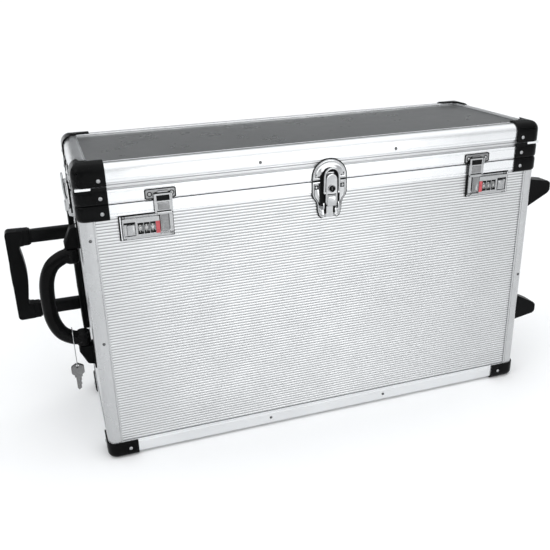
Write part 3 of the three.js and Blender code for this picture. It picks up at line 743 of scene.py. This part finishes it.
def lining():
    """The foam tray in the case, its piping and ledge, and the pad inside the lid."""
    (x0, y0, z0), (x1, y1, z1) = case_box("case_lining")
    ledge_from, foam = ROD_Y - 8.5, 2.8
    walls = (
        ((x0, x1), (z0, z1 - 1.5), (6, 3), y0, lambda a, b, up: (a, up, b)),
        ((x0, x1), (z0, z1 - 3.5), (6, 3), -ledge_from, lambda a, b, up: (a, -up, b)),
        ((y0, ledge_from), (z0, z1 - 1.5), (2, 3), x0, lambda a, b, up: (up, a, b)),
        ((y0, ledge_from), (z0, z1 - 1.5), (2, 3), -x1, lambda a, b, up: (-up, a, b)),
        ((x0, x1), (y0, ledge_from), (6, 2), z0, lambda a, b, up: (a, b, up)),
    )
    piece("lining_tray", CLOTH, "case", *(quilt(*wall[:4], foam, wall[4]) for wall in walls),
          node="case_lining", sharp=80)
    ledge = quilt((x0, x1), (ledge_from + 0.4, y1), (6, 1), z1 - 3, 2.9,
                  lambda a, b, up: (a, b, up))
    piece("lining_ledge", CLOTH, "case", ledge, sharp=80)
    mouth = rounded(x0 + 1.6, x1 - 1.6, y0 + 1.6, ledge_from - 1.6, 5, 5)
    piping = sweep([(a, b, z1 - 1.5) for a, b in mouth], circle(1.45, 8), (0, 0, 1), closed=True)
    piece("lining_piping", CLOTH, "case", piping)
    roof = case_box("lid_panel")[1].z - 4.2
    pad = quilt((12, WIDTH - 12), (12, DEPTH - 12), (6, 2), -roof, 3.0,
                lambda a, b, up: (a, b, -up))
    piece("lid_pad", CLOTH, "lid", pad, sharp=80)


# ---- Corner caps ----


def elbow(inset, z, reach):
    """Half of a cap's ring: along the front, round the corner and back along the end. The flat
    part, over the top, reaches less far along the end."""
    radius = max(CORNER_RADIUS - inset, 0.8)
    along_end = reach if inset < CORNER_RADIUS else min(reach, 24)
    turn = arc((inset + radius, inset + radius), radius, 270, 180, 8)
    return [(reach, inset, z), (reach * 0.62, inset, z), *((x, y, z) for x, y in turn),
            (inset, max(along_end * 0.62, inset + radius), z), (inset, along_end, z)]


def cap(profile, reach):
    return loft([elbow(inset, z, reach) for inset, z in profile], closed=False, capped=False)


def caps():
    top = HEIGHT - CAP_SKIN
    kinds = {
        "lid_cap": ("lid", 355, 36, [
            (1.1, 348.5), (CAP_SKIN, 349.6), *arc((12, HEIGHT - 12), 12 - CAP_SKIN, 180, 90, 8),
            (17, top), (19.4, top), (20, top - 0.7)]),
        "bottom_cap": ("case", 12.5, 38, [
            (1.1, 22.3), (CAP_SKIN, 21.2), *arc((8, 8), 8 - CAP_SKIN, 180, 270, 6),
            (17, CAP_SKIN), (19.4, CAP_SKIN), (20, CAP_SKIN + 0.6)]),
        "lid_rim_cap": ("lid", 335.5, 36, rim_cap_profile(328.0, 344.8)),
        "body_rim_cap": ("case", 318.2, 36, rim_cap_profile(310.4, 327.4)),
    }
    for kind, (body, head_z, reach, profile) in kinds.items():
        heads = []
        for at, right, back in CORNERS:
            node = f"{kind}_{at}"
            piece(f"{node}_moulding", CAP, body, cornered(cap(profile, reach), right, back),
                  node=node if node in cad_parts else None, bevel=0.55, shell=1.7)
            heads += [cornered(screw_head(axis, (28, head_z), 0.05, 2.2), right, back)
                      for axis in "yx"]
        piece(f"{kind}_screws", STEEL, body, *heads)

    for name, look, bevel, form in (
        ("lid_band_ends", RAIL, 0.5, slab((2.2, 19), (1.1, 2.6), (345.0, 348.2))),
        ("lid_rim_cap_tabs", CAP, 0.3, slab((19.6, 36), (1.0, 2.4), (344.2, 347.3))),
    ):
        piece(name, look, "lid", *(cornered(form, r, b) for _, r, b in CORNERS), bevel=bevel)


def rim_cap_profile(low, high):
    """A cap on a rim, drawn in at both edges."""
    drawn_in = ((3.0, 0), (1.5, 0.35), (0.5, 1.3), (0, 3.0))
    return ([(CAP_SKIN + more, low + up) for more, up in drawn_in]
            + [(CAP_SKIN + more, high - down) for more, down in reversed(drawn_in)])


# ---- Combination latches ----

# How far in from the case's end a latch's own x begins, and its dials' places.
LATCH_START = 3
DIALS = [64.5, 71.5, 78.5]
DIAL_Y, DIAL_Z, DIAL_RADIUS = 3.2, 297.5, 6.0


def digits(name, centre_x):
    """The ten figures round one dial, as one object."""
    work = bmesh.new()
    out = Matrix.Translation((0, -(DIAL_RADIUS - 0.02) * MM, 0))
    stand = Matrix.Rotation(radians(90), 4, "X")
    for value in range(10):
        text = bpy.data.curves.new("figure", "FONT")
        text.body = str(value)
        text.size = 3.9 * MM
        text.extrude = 0.08 * MM
        text.align_x = "CENTER"
        text.align_y = "CENTER"
        text.resolution_u = 3
        holder = added("figure", text)
        bpy.context.view_layer.update()
        flat = bpy.data.meshes.new_from_object(holder)
        turn = Matrix.Rotation(radians(36 * value), 4, "X")
        flat.transform(Matrix.Translation(place((centre_x, DIAL_Y, DIAL_Z))) @ turn @ out @ stand)
        work.from_mesh(flat)
        bpy.data.objects.remove(holder)
        bpy.data.curves.remove(text)
        bpy.data.meshes.remove(flat)
    return built(name, work, DIGIT)


def dial(side, number, centre_x):
    """A wheel with ten flats, and a knurled flange that the finger turns."""
    node = f"dial_{side}_{number}"
    half, flange_width, drum_share, clearance = 2.75, 1.3, 0.94, 0.985
    reach = DIAL_RADIUS * clearance / cos(radians(18))
    flats = [(reach * cos(a) * drum_share, reach * sin(a) * drum_share)
             for a in (radians(36 * i + 18) for i in range(10))]
    teeth = [(r * cos(a), r * sin(a)) for i in range(30)
             for r, a in ((5.55, radians(12 * i)), (6.0, radians(12 * i + 5)),
                          (6.0, radians(12 * i + 8)))]
    step = centre_x + half - flange_width
    drum, flange = (prism([(DIAL_Y + a, DIAL_Z + b) for a, b in ring], "x", start, end)
                    for ring, start, end in ((flats, centre_x - half, step),
                                             (teeth, step, centre_x + half)))
    piece(f"{node}_wheel", LEVER, node, drum, flange, node=node, slot="steel", bevel=0.12)
    figures = digits(f"{node}_figures", centre_x - flange_width / 2)
    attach(figures, node)


def latch(side):
    """A combination latch, drawn for the left side from a line a little in from the end."""
    lever = f"latch_lever_{side}"

    def across(x):
        return WIDTH - LATCH_START - x if side == "right" else LATCH_START + x

    def add(part, look, body, *forms, **options):
        placed = moved(join(*forms), lambda x, y, z: (across(x), y, z))
        piece(f"latch_{side}_{part}", look, body, placed, **options)

    plate = pierced("y", 1.1, 3.4, [42.5, 61, 84.4, 101.5], [285, 290, 304.6, 312.7], [(1, 1)])
    columns = [44.7, 46.0, 58.8, 61.4, 67.6, 68.4, 74.6, 75.4, 81.3, 86]
    rows = [287.6, 289.6, 291.0, 304.0, 305.6, 309.8]
    holes = [(1, row) for row in (1, 2, 3)] + [(c, 2) for c in (3, 5, 7)]
    housing = pierced("y", 1.2, -2.1, columns, rows, holes)
    flange = slab((97.4, 101.5), (-1.6, 1.6), (287, 312.2))
    heel = slab((86.6, 96.6), (-2.3, 1.2), (287.2, 288.9))
    add("case", PLATE, "case", plate, housing, flange, heel, node=f"latch_plate_{side}", bevel=0.3)
    places = [(46.6, 286.7), (100.0, 288.4), (46.6, 310.9)]
    corners = [screw_head("y", at, 0.95, 1.2) for at in places[::2]]
    corners.append(screw_head("y", places[1], -1.7, 1.2))
    add("screws", STEEL, "case", *corners)
    add("lip", RAIL, "case", slab((42.7, 43.9), (-0.1, 1.2), (285.5, 312.2)),
        slot="chrome_plate", bevel=0.3)
    # Painted shade: the black slabs below (squares round the corner screws and the flange screw, a
    # line down the plate's left edge, a backing a little larger than the plate and a strip along
    # its top) stand in for the shade round the plate.
    rings = [slab((x - 1.75, x + 1.75), (0.9, 1.2), (z - 1.5, z + 1.5)) for x, z in places[::2]]
    rings.append(slab((98.3, 101.4), (-1.85, -1.5), (286.9, 290.0)))
    groove_shade = slab((43.95, 44.65), (0.85, 1.2), (286.0, 311.8))
    behind = pierced("y", 1.3, 3.1, [41.2, 61, 84.4, 102.5], [284.5, 290, 304.6, 313.2], [(1, 1)])
    shade = slab((43.6, 83.6), (0.6, 1.4), (311.9, 313.1))
    add("shade_outline", PLASTIC, "case", groove_shade, *rings, behind, shade, bevel=0.2)
    # Painted shade: black slabs behind the slide and at the back of the dial wells stand in for
    # the shade in those recesses.
    add("inside", PLASTIC, "case", slab((46.2, 60.8), (1.25, 2.4), (288.6, 308.8)),
        slab((61.2, 84.2), (9.6, 9.95), (290.2, 304.4)))
    add("slide_floor", PLATE, "case", slab((46.2, 58.6), (-0.7, 1.2), (289.8, 303.0)), bevel=0.15)
    shades = [slab((x - 3.05, x + 3.05), (-1.95, -1.4), zs)
              for x in DIALS for zs in ((291.0, 292.6), (301.9, 304.0))]
    shades.append(slab((46.3, 58.5), (-1.7, 1.0), (303.3, 305.4)))
    add("shades", PLASTIC, "case", *shades)
    add("red", RED, "case", slab((81.5, 86.2), (-2.75, -1.9), (290.2, 304.2)), bevel=0.25)
    for number, x in enumerate(DIALS, 1):
        dial(side, number, across(x))

    thumb = stamped(rounded(49.4, 58.4, 290.6, 302.8, 0.8, 3),
                    [(0, -0.8), (0, -2.6), (0.3, -3.2), (0.9, -3.5)])
    grooves = [slab((50.7 + 1.6 * i, 51.4 + 1.6 * i), (-3.75, -3.3), (292.2, 301.4))
               for i in range(5)]
    slide = f"latch_slide_{side}"
    add("slide", PLATE, slide, thumb, *grooves, node=slide, bevel=0.15)

    flap = stamped(rounded(86.6, 96.6, 291.2, 311.6, 0.9, 3), [(0, -1.1), (0, -2.2), (0.35, -2.75),
                                                               (1.6, -2.75), (1.9, -2.45)])
    swell = stamped(rounded(85.4, 98.6, 316.2, 325.2, 1.2, 3),
                    [(0, -2.2), (0.3, -2.9), (1.2, -3.0)])
    add("lever", LEVER, lever, flap, swell, node=lever, bevel=0.22)
    fold = prism(rounded(-2.9, -1.1, 310.8, 314.4, 0.8, 4), "x", 84.4, 100.8)
    hook = pierced("y", -1.15, -2.35, [81.8, 84.8, 99.2, 102.2],
                   [313.4, 326.6, 332.8, 334.8], [(1, 1)])
    ears = [slab((x, x + 1.4), (-3.3, -1.15), (326.0, 334.8)) for x in (81.8, 100.8)]
    add("hook", PLATE, lever, fold, hook, *ears, bevel=0.22)
    # Painted shade: black slabs behind and beside the hook stand in for the shade inside it.
    add("hook_shade", PLASTIC, lever, slab((83.4, 100.6), (-1.3, -0.95), (325.8, 335.9)),
        slab((84.2, 99.8), (-3.05, -2.2), (314.6, 315.3)),
        slab((81.6, 82.5), (-1.6, -0.95), (313.4, 325.8)))
    add("pin", STEEL, "case", lathe([(0.9, 87.2), (0.9, 98.6)], "x", (-0.9, 292.1), 12),
        bevel=0.15)

    strike = stamped(rounded(73.4, 106.6, 329.5, 339.3, 1.6, 4),
                     [(0, 2.1), (0, 1.3), (0.4, 0.8), (1.2, 0.75)])
    tongue = prism([(0.8, 331.2), (-0.3, 331.6), (-0.75, 332.4), (-0.8, 336.2), (-0.3, 337.4),
                    (0.8, 337.8)], "x", 86.6, 98.2)
    add("strike", LEVER, "lid", strike, tongue, bevel=0.2)
    screws = [(78.0, 334.4), (102.6, 334.4)]
    face, flatten = 0.78, 0.15
    washers = [moved(rivet("y", at, face, 2.8),
                     lambda x, y, z: (x, face + (y - face) * flatten, z)) for at in screws]
    backing = prism(rounded(72.4, 107.6, 328.5, 340.2, 2, 3), "y", 1.2, 2.3)
    add("strike_gasket", PLASTIC, "lid", backing, *washers)
    add("strike_screws", STEEL, "lid", *(screw_head("y", at, 0.6, 1.9) for at in screws))


# ---- Hasp locks ----

LOCK_X, END_Y = WIDTH / 2, 102.5


def on_front(form):
    return moved(form, lambda x, y, z: (LOCK_X + x, y, z))


def on_end(form):
    return moved(form, lambda x, y, z: (y, END_Y - x, z))


def both_sides(half):
    """A whole outline from the half of it right of the middle."""
    return half + [(-a, z) for a, z in reversed(half)]


def hasp(name, to, plate, lever, keeper):
    """One lock, drawn about its middle: the shield and the lever on the case, and the dome on
    the lid that the lever closes over. The lever's node and body have one name."""
    def add(part, look, body, *forms, **options):
        piece(f"{name}_{part}", look, body, to(join(*forms)), **options)

    shield = both_sides([
        (21.6, 327), (21.8, 325), (21.8, 312), (20.6, 307.5), (17.2, 303.5), (15.4, 298),
        (15.0, 291), (13.2, 284.4), (9.8, 281.4), (7.4, 282.6), (6.6, 286), (6.2, 289.5)])
    base = stamped(shield, [(0, 3.4), (0, 1.6), (0.5, 0.7), (1.4, 0.3), (2.2, 0.5),
                                 (2.8, 1.1), (3.6, 1.2)])
    prong = stamped([(-4.4, 281.6), (4.4, 281.6), (5.4, 284), (5.4, 296), (-5.4, 296),
                     (-5.4, 284)], [(0, 3.2), (0, 0.9), (0.6, 0.3), (1.2, 0.3)])
    cheeks = [prism([(1.4, 291.5), (-4.2, 293.6), (-5.0, 297.5), (-4.2, 301.4), (1.4, 304)], "x",
                    x, x + 1.5) for x in (-10.4, 8.9)]
    add("shield", CHROME, "case", base, prong, *cheeks, node=plate, bevel=0.25)
    add("rivets", STEEL, "case", *(rivet("y", at, 1.1, 1.7) for at in (
        (-16.6, 320), (16.6, 320), (-11.4, 288.4), (11.4, 288.4))))
    washers = [slab((x - 2.6, x + 2.6), (0.95, 1.3), (317.4, 322.6)) for x in (-16.6, 16.6)]
    slots = [stamped(rounded(x - 1.3, x + 1.3, 286.5, 296, 1.2, 3),
                     [(0, 1.0), (0, -0.1), (0.3, -0.2)]) for x in (-5.6, 5.6)]
    well = slab((-12.2, 12.2), (-1.6, 1.0), (297, 327.4))
    middle, rim_z, wider, taller = 306, 327, 1.04, 1.03
    outline = stamped([(x * wider, min(middle + (z - middle) * taller, rim_z))
                       for x, z in shield], [(0, 3.0), (0, 1.5)])
    add("well", PLASTIC, "case", well, outline, *washers, *slots, bevel=0.2)

    blade = both_sides([*reversed(arc((0, 329.6), 7.3, 8, 86, 6)),
                        (7.4, 326), (7.6, 302), (6.6, 299.2), (4.8, 298)])
    tongue = stamped(blade, [(0, -2.7), (0, -5.4), (0.5, -6.2), (1.5, -6.5), (2.1, -6.3),
                                  (2.6, -6.2)])
    thumb = stamped(rounded(-6.0, 6.0, 297.6, 310.4, 1.4, 3), [(0, -2.8), (0, -6.9), (0.4, -7.5),
                                                               (1.6, -7.9)])
    add("seam", PLASTIC, lever, slab((-5.6, 5.6), (-6.75, -6.0), (311.2, 312.3)))
    path = [(-9.4, -5.6, 314), (-9.4, -6.6, 322), (-9.2, -6.7, 334)]
    path += [(x, -6.7, z) for x, z in arc((0, 334.6), 8.9, 172, 8, 12)]
    path += [(-x, y, z) for x, y, z in reversed(path[:3])]
    bail = sweep(path, circle(1.15, 10), (0, 1, 0))
    eyes = [lathe([(1.9, x - 1.2), (1.9, x + 1.2)], "x", (-5.2, 314.2), 14) for x in (-8.8, 8.8)]
    add("tongue", CHROME, lever, tongue, thumb, bail, *eyes, node=lever, bevel=0.2)

    dome_z, dome_radius, foot_z = 331.2, 21.8, 328.4
    crown = [(dome_radius, foot_z), *arc((0, dome_z), dome_radius, 0, 180, 18),
             (-dome_radius, foot_z)]
    dome = stamped(crown, [(0, 2.0), (0, 1.0), (0.6, 0.2), (1.8, -0.2), (3.0, 0.1),
                                (4.4, 0.4), (7.0, -0.4), (10.0, -1.3)])
    boss = stamped([(-4.3, dome_z), (4.3, dome_z), (4.3, 338.2), (-4.3, 338.2)],
                   [(0, -0.9), (0, -2.0), (0.7, -2.4)])
    well = prism([(12.2, 328), *arc((0, dome_z), 12.2, 0, 180, 12), (-12.2, 328)], "y", -1.75, 0.5)
    edge = stamped([(x * wider, max(dome_z + (z - dome_z) * wider, foot_z)) for x, z in crown],
                   [(0, 2.0), (0, 0.9)])
    washers = [slab((x - 2.6, x + 2.6), (0.2, 0.5), (330.9, 336.1)) for x in (-16.4, 16.4)]
    add("dome_well", PLASTIC, "lid", well, edge, *washers, bevel=0.2)
    add("dome", CHROME, "lid", dome, boss, node=keeper, bevel=0.3)
    add("dome_rivets", STEEL, "lid", *(rivet("y", (x, 333.5), 0.4, 1.6) for x in (-16.4, 16.4)))


def locks():
    hasp("front_lock", on_front, "lock_plate", "lock_lever", "lock_keeper")
    hasp("end_lock", on_end, "end_latch_plate", "end_latch_lever", None)
    centre = (LOCK_X, 319)
    collar = lathe([(4.6, -6.0), (4.6, -7.0), (4.1, -7.4), (3.9, -7.1), (3.85, -6.1)], "y",
                   centre, 32)
    piece("front_lock_collar", CHROME, "lock_lever", collar)
    barrel = lathe([(3.6, -3.5), (3.6, -6.9), (3.3, -7.2), (0.2, -7.25)], "y", centre, 32)
    piece("front_lock_barrel", CAP, "lock_cylinder", barrel, node="lock_cylinder",
          slot="chrome_plate")
    # Painted shade: the keyway is a near-black slab standing in for the shade inside the hole.
    piece("front_lock_slot", SHADOWED, "lock_cylinder",
          slab((LOCK_X - 0.5, LOCK_X + 0.5), (-7.4, -7.0), (316.9, 321.1)),
          slab((LOCK_X - 0.95, LOCK_X + 0.95), (-7.4, -7.0), (319.6, 321.1)), bevel=0.08)


# ---- Carry handle and keys ----

# Where the handle pivots, seen from above, the heights of its pivots and how far out it bows.
HANDLE = Vector((-8, 100))
ARMS = (127.0, 241.3)
REACH = -44.0
TUBE_RADIUS = 9.3


def carry_handle():
    low, high = ARMS
    lower = [(HANDLE.x - 2, 0), (HANDLE.x - 13, 2.5), (HANDLE.x - 26, 12), (REACH + 2, 31)]
    knots = [(x, low + rise) for x, rise in lower] + [(REACH, (low + high) / 2)]
    knots += [(x, high - rise) for x, rise in reversed(lower)]
    path = smooth_path([(x, HANDLE.y, z) for x, z in knots], 6)
    arms = sweep(path, circle(TUBE_RADIUS, 24, 0.97), (0, 1, 0))
    boss = both_ends([(5, -9.5), (7.6, -9.5), (8.9, -8.4), (9.2, -5)])
    bosses = [lathe([(r, z + a) for r, a in boss], "z", HANDLE, 28) for z in ARMS]
    piece("carry_handle_bow", GRIP, "carry_handle", arms, node="handle_grip")
    piece("carry_handle_bosses", GRIP, "carry_handle", *bosses)
    for name, z, away in (("lower", low, -1), ("upper", high, 1)):
        start = z + away * 9.9
        side = [(3.6, start), (-15.0, start), (-15.5, start + away * 7), (-6.5, start + away * 26),
                (3.6, start + away * 28)]
        block = prism(side, "y", HANDLE.y - 9, HANDLE.y + 9)
        piece(f"handle_{name}_bracket", PLASTIC, "case", block, node=f"handle_mount_{name}",
              bevel=2.6, segments=4)
        flange = prism(rounded(86.5, 113.5, min(start, start + away * 33),
                               max(start, start + away * 33), 5), "x", 1.4, 3.6)
        piece(f"handle_{name}_foot", PLASTIC, "case", flange, bevel=0.7)
        heads = [screw_head("x", (y, start + away * 29), 1.5, 2.1) for y in (92, 108)]
        piece(f"handle_{name}_screws", STEEL, "case", *heads)


def keys():
    x, low = -21.0, 97.0
    loop = [(111, 39.5), (102, 45.2), (93, 44.8), (87, 39), (84, 26), (79.5, 10), (78, 3),
            (80.5, 0), (86, 0), (92, 0), (101, 9), (109, 20), (113, 30)]
    path = smooth_path([(x, y, low + z) for y, z in loop], 4, closed=True)
    wire = sweep(path, circle(0.55, 8), (1, 0, 0), closed=True)
    piece("key_loop", CHROME, "key_wire", wire, node="key_wire", slot="steel")
    crimp = lathe([(0.9, low + 27.5), (1.25, low + 28.2), (1.25, low + 33.8), (0.9, low + 34.5)],
                  "z", (x, 113), 12)
    piece("key_loop_crimp", STEEL, "key_wire", crimp)
    for number, y in ((1, 81.3), (2, 84.5)):
        key(number, x, low - 1.25, y)


def key(number, x, hole_z, y):
    """A flat key: a bow with a raised rim round its hole, a shoulder and a cut blade."""
    centre = hole_z - 5.5

    def ring(radius, middle, lobes=0.0):
        turn = [radians(10 * i + 5) for i in range(36)]
        reach = [radius * (1 - lobes * cos(6 * a)) for a in turn]
        return [(x + r * cos(a), middle + r * sin(a)) for r, a in zip(reach, turn)]

    rim, face, hole = ring(8.5, centre, 0.045), ring(7.1, centre, 0.045), ring(2.2, hole_z)
    faces = [(rim, y + 0.2), (rim, y + 1.6), (face, y + 1.35), (hole, y + 1.35),
             (hole, y + 0.45), (face, y + 0.45), (rim, y + 0.2)]
    bow = loft([[(a, level, b) for a, b in ring] for ring, level in faces], capped=False)
    cuts = [(-3.5, 12), (-3.5, 31), (-1.6, 34), (2, 31.5), (0.8, 28.5), (3, 26), (1.4, 23),
            (3.3, 20), (3.3, 12)]
    blade = prism([(x + a, hole_z - drop) for a, drop in cuts], "y", y + 0.25, y + 1.55)
    ridge = slab((x - 2.4, x - 0.6), (y + 0.05, y + 1.75), (hole_z - 29, hole_z - 13.5))
    neck = slab((x - 5.0, x + 4.8), (y + 0.2, y + 1.6), (hole_z - 15.4, hole_z - 12.4))
    piece(f"key_{number}_blank", WORN, f"key_{number}", bow, blade, ridge, neck,
          node=f"key_{number}", bevel=0.12)


# ---- Trolley ----


def trolley():
    hole = 8.9
    edges_z = [112, *(z + side * hole for z in RODS for side in (-1, 1)), 278]
    bezel = pierced("x", 3.2, -5, [156, 172.6, 185.4, 198], edges_z, [(1, 1), (1, 3)])
    piece("trolley_escutcheon", PLASTIC, "case", bezel, node="trolley_bezel", bevel=1.3,
          segments=3)
    panel = slab((-5.6, -4.6), (163, 191), (162, 228))
    piece("trolley_escutcheon_panel", PLASTIC, "case", panel, bevel=0.45)
    for name, z in zip(("lower", "upper"), RODS):
        section = rounded(ROD_Y - 6, ROD_Y + 6, z - 8.5, z + 8.5, 2.5)
        tube = stamped(section, [(0.5, -75), (0, -74.5), (0, 499.5), (0.5, 500)], axis="x")
        piece(f"trolley_tube_{name}", ROD, "trolley_handle", tube, node=f"trolley_rod_{name}")
        collar = prism(rounded(ROD_Y - 8.6, ROD_Y + 8.6, z - 10.6, z + 10.6, 3), "x", -72, -57.2)
        ring = prism(rounded(ROD_Y - 7.6, ROD_Y + 7.6, z - 9.9, z + 9.9, 3), "x", -57.6, -55.2)
        piece(f"trolley_socket_{name}", PLASTIC, "trolley_handle", collar, ring, bevel=0.8)

    low, high = RODS[0] - 10.5, RODS[1] + 10.5
    middle = sum(RODS) / 2
    outer, inner = -86.5, -71.0
    outline = arc((outer + 5, low + 5), 5, 180, 270, 6)
    outline += [(-64, low + 0.4), (-64, RODS[0] + 10.4), (inner + 1.5, RODS[0] + 10.8)]
    start, end = RODS[0] + 12.5, RODS[1] - 12.5
    outline += [(inner + 4.4 * sin(pi * t / 12), start + (end - start) * t / 12)
                for t in range(13)]
    outline += [(inner + 1.5, RODS[1] - 10.8), (-64, RODS[1] - 10.4), (-64, high - 0.4)]
    outline += arc((outer + 5, high - 5), 5, 90, 180, 6)
    bar = prism(outline, "y", ROD_Y - 9.3, ROD_Y + 9.3)
    piece("trolley_bar", PLASTIC, "trolley_handle", bar, node="trolley_grip", bevel=2.0,
          segments=3)
    pad = stamped(rounded(ROD_Y - 4, ROD_Y + 4, middle - 15, middle + 15, 3.4),
                  [(0, -82), (0, -86.7), (0.5, -87.1), (1.6, -87.2)], axis="x")
    dots = [slab((-87.5, -86.9), (ROD_Y - 2.4, ROD_Y + 2.4), (middle + z - 0.5, middle + z + 0.5))
            for z in (-9, -6, -3, 0, 3, 6, 9)]
    piece("trolley_push", GRIP, "trolley_button", pad, *dots, node="trolley_button",
          slot="moulded_plastic", bevel=0.2)


# ---- Feet and wheels ----


FEET_MIDDLE = 187.5


def feet_and_wheels():
    base = WIDTH - 1.7
    tip = case_box("foot_lower")[1].x
    for name, side in (("lower", -1), ("upper", 1)):
        def at(offset):
            return FEET_MIDDLE + side * offset

        outline = [(base, at(105.5)), (tip - 4, at(99.5)), (tip - 1.2, at(97.6)), (tip, at(95)),
                   (tip, at(87)), (tip - 1.2, at(84.6)), (tip - 4, at(82)), (base + 3, at(65)),
                   (base, at(62.5))]
        foot = prism(outline, "y", 16.3, 39.7)
        piece(f"foot_{name}_block", PLASTIC, "case", foot, node=f"foot_{name}", bevel=1.8,
              segments=3)
        flange = prism(rounded(14.5, 41.5, min(at(60), at(108)), max(at(60), at(108)), 4), "x",
                       base - 2.0, base + 1.6)
        piece(f"foot_{name}_flange", PLASTIC, "case", flange, bevel=0.8)
        dress(f"wheel_housing_{name}", PLASTIC, bevel=0.8)
    for name in ("lower", "upper"):
        wheel(name)


def wheel(name):
    low, high = case_box(f"wheel_{name}")
    middle = (low + high) / 2
    radius, half = (high.x - low.x) / 2, (high.z - low.z) / 2
    centre, z = (middle.x, middle.y), middle.z
    tyre = both_ends([
        (12.6, -half + 1.5), (14.5, -half), (radius - 1.8, -half), (radius - 0.4, -half + 1.1),
        (radius, -half + 2.6), (radius, -2.2), (radius - 0.9, -1.8)])
    piece(f"wheel_{name}_tyre", RUBBER, f"wheel_{name}",
          lathe([(r, z + a) for r, a in tyre], "z", centre, 56), node=f"wheel_{name}")
    hub = both_ends([(3.2, -half + 0.4), (5.2, -half + 0.4), (5.6, -half + 2.2),
                     (11, -half + 2.8), (12.9, -half + 1.2)])
    parts = [lathe([(r, z + a) for r, a in hub], "z", centre, 40)]
    for i in range(5):
        a = radians(72 * i)
        along, across = Vector((cos(a), sin(a))), Vector((-sin(a), cos(a)))
        corners = [along * r + across * w for r, w in ((4.6, -1), (12, -1), (12, 1), (4.6, 1))]
        parts.append(prism([(centre[0] + c.x, centre[1] + c.y) for c in corners], "z",
                           z - half + 1.4, z + half - 1.4))
    piece(f"wheel_{name}_hub", PLASTIC, f"wheel_{name}", *parts, bevel=0.3)


camera()
floor()
light()
rails()
panels()
lining()
caps()
latch("left")
latch("right")
locks()
carry_handle()
keys()
trolley()
feet_and_wheels()
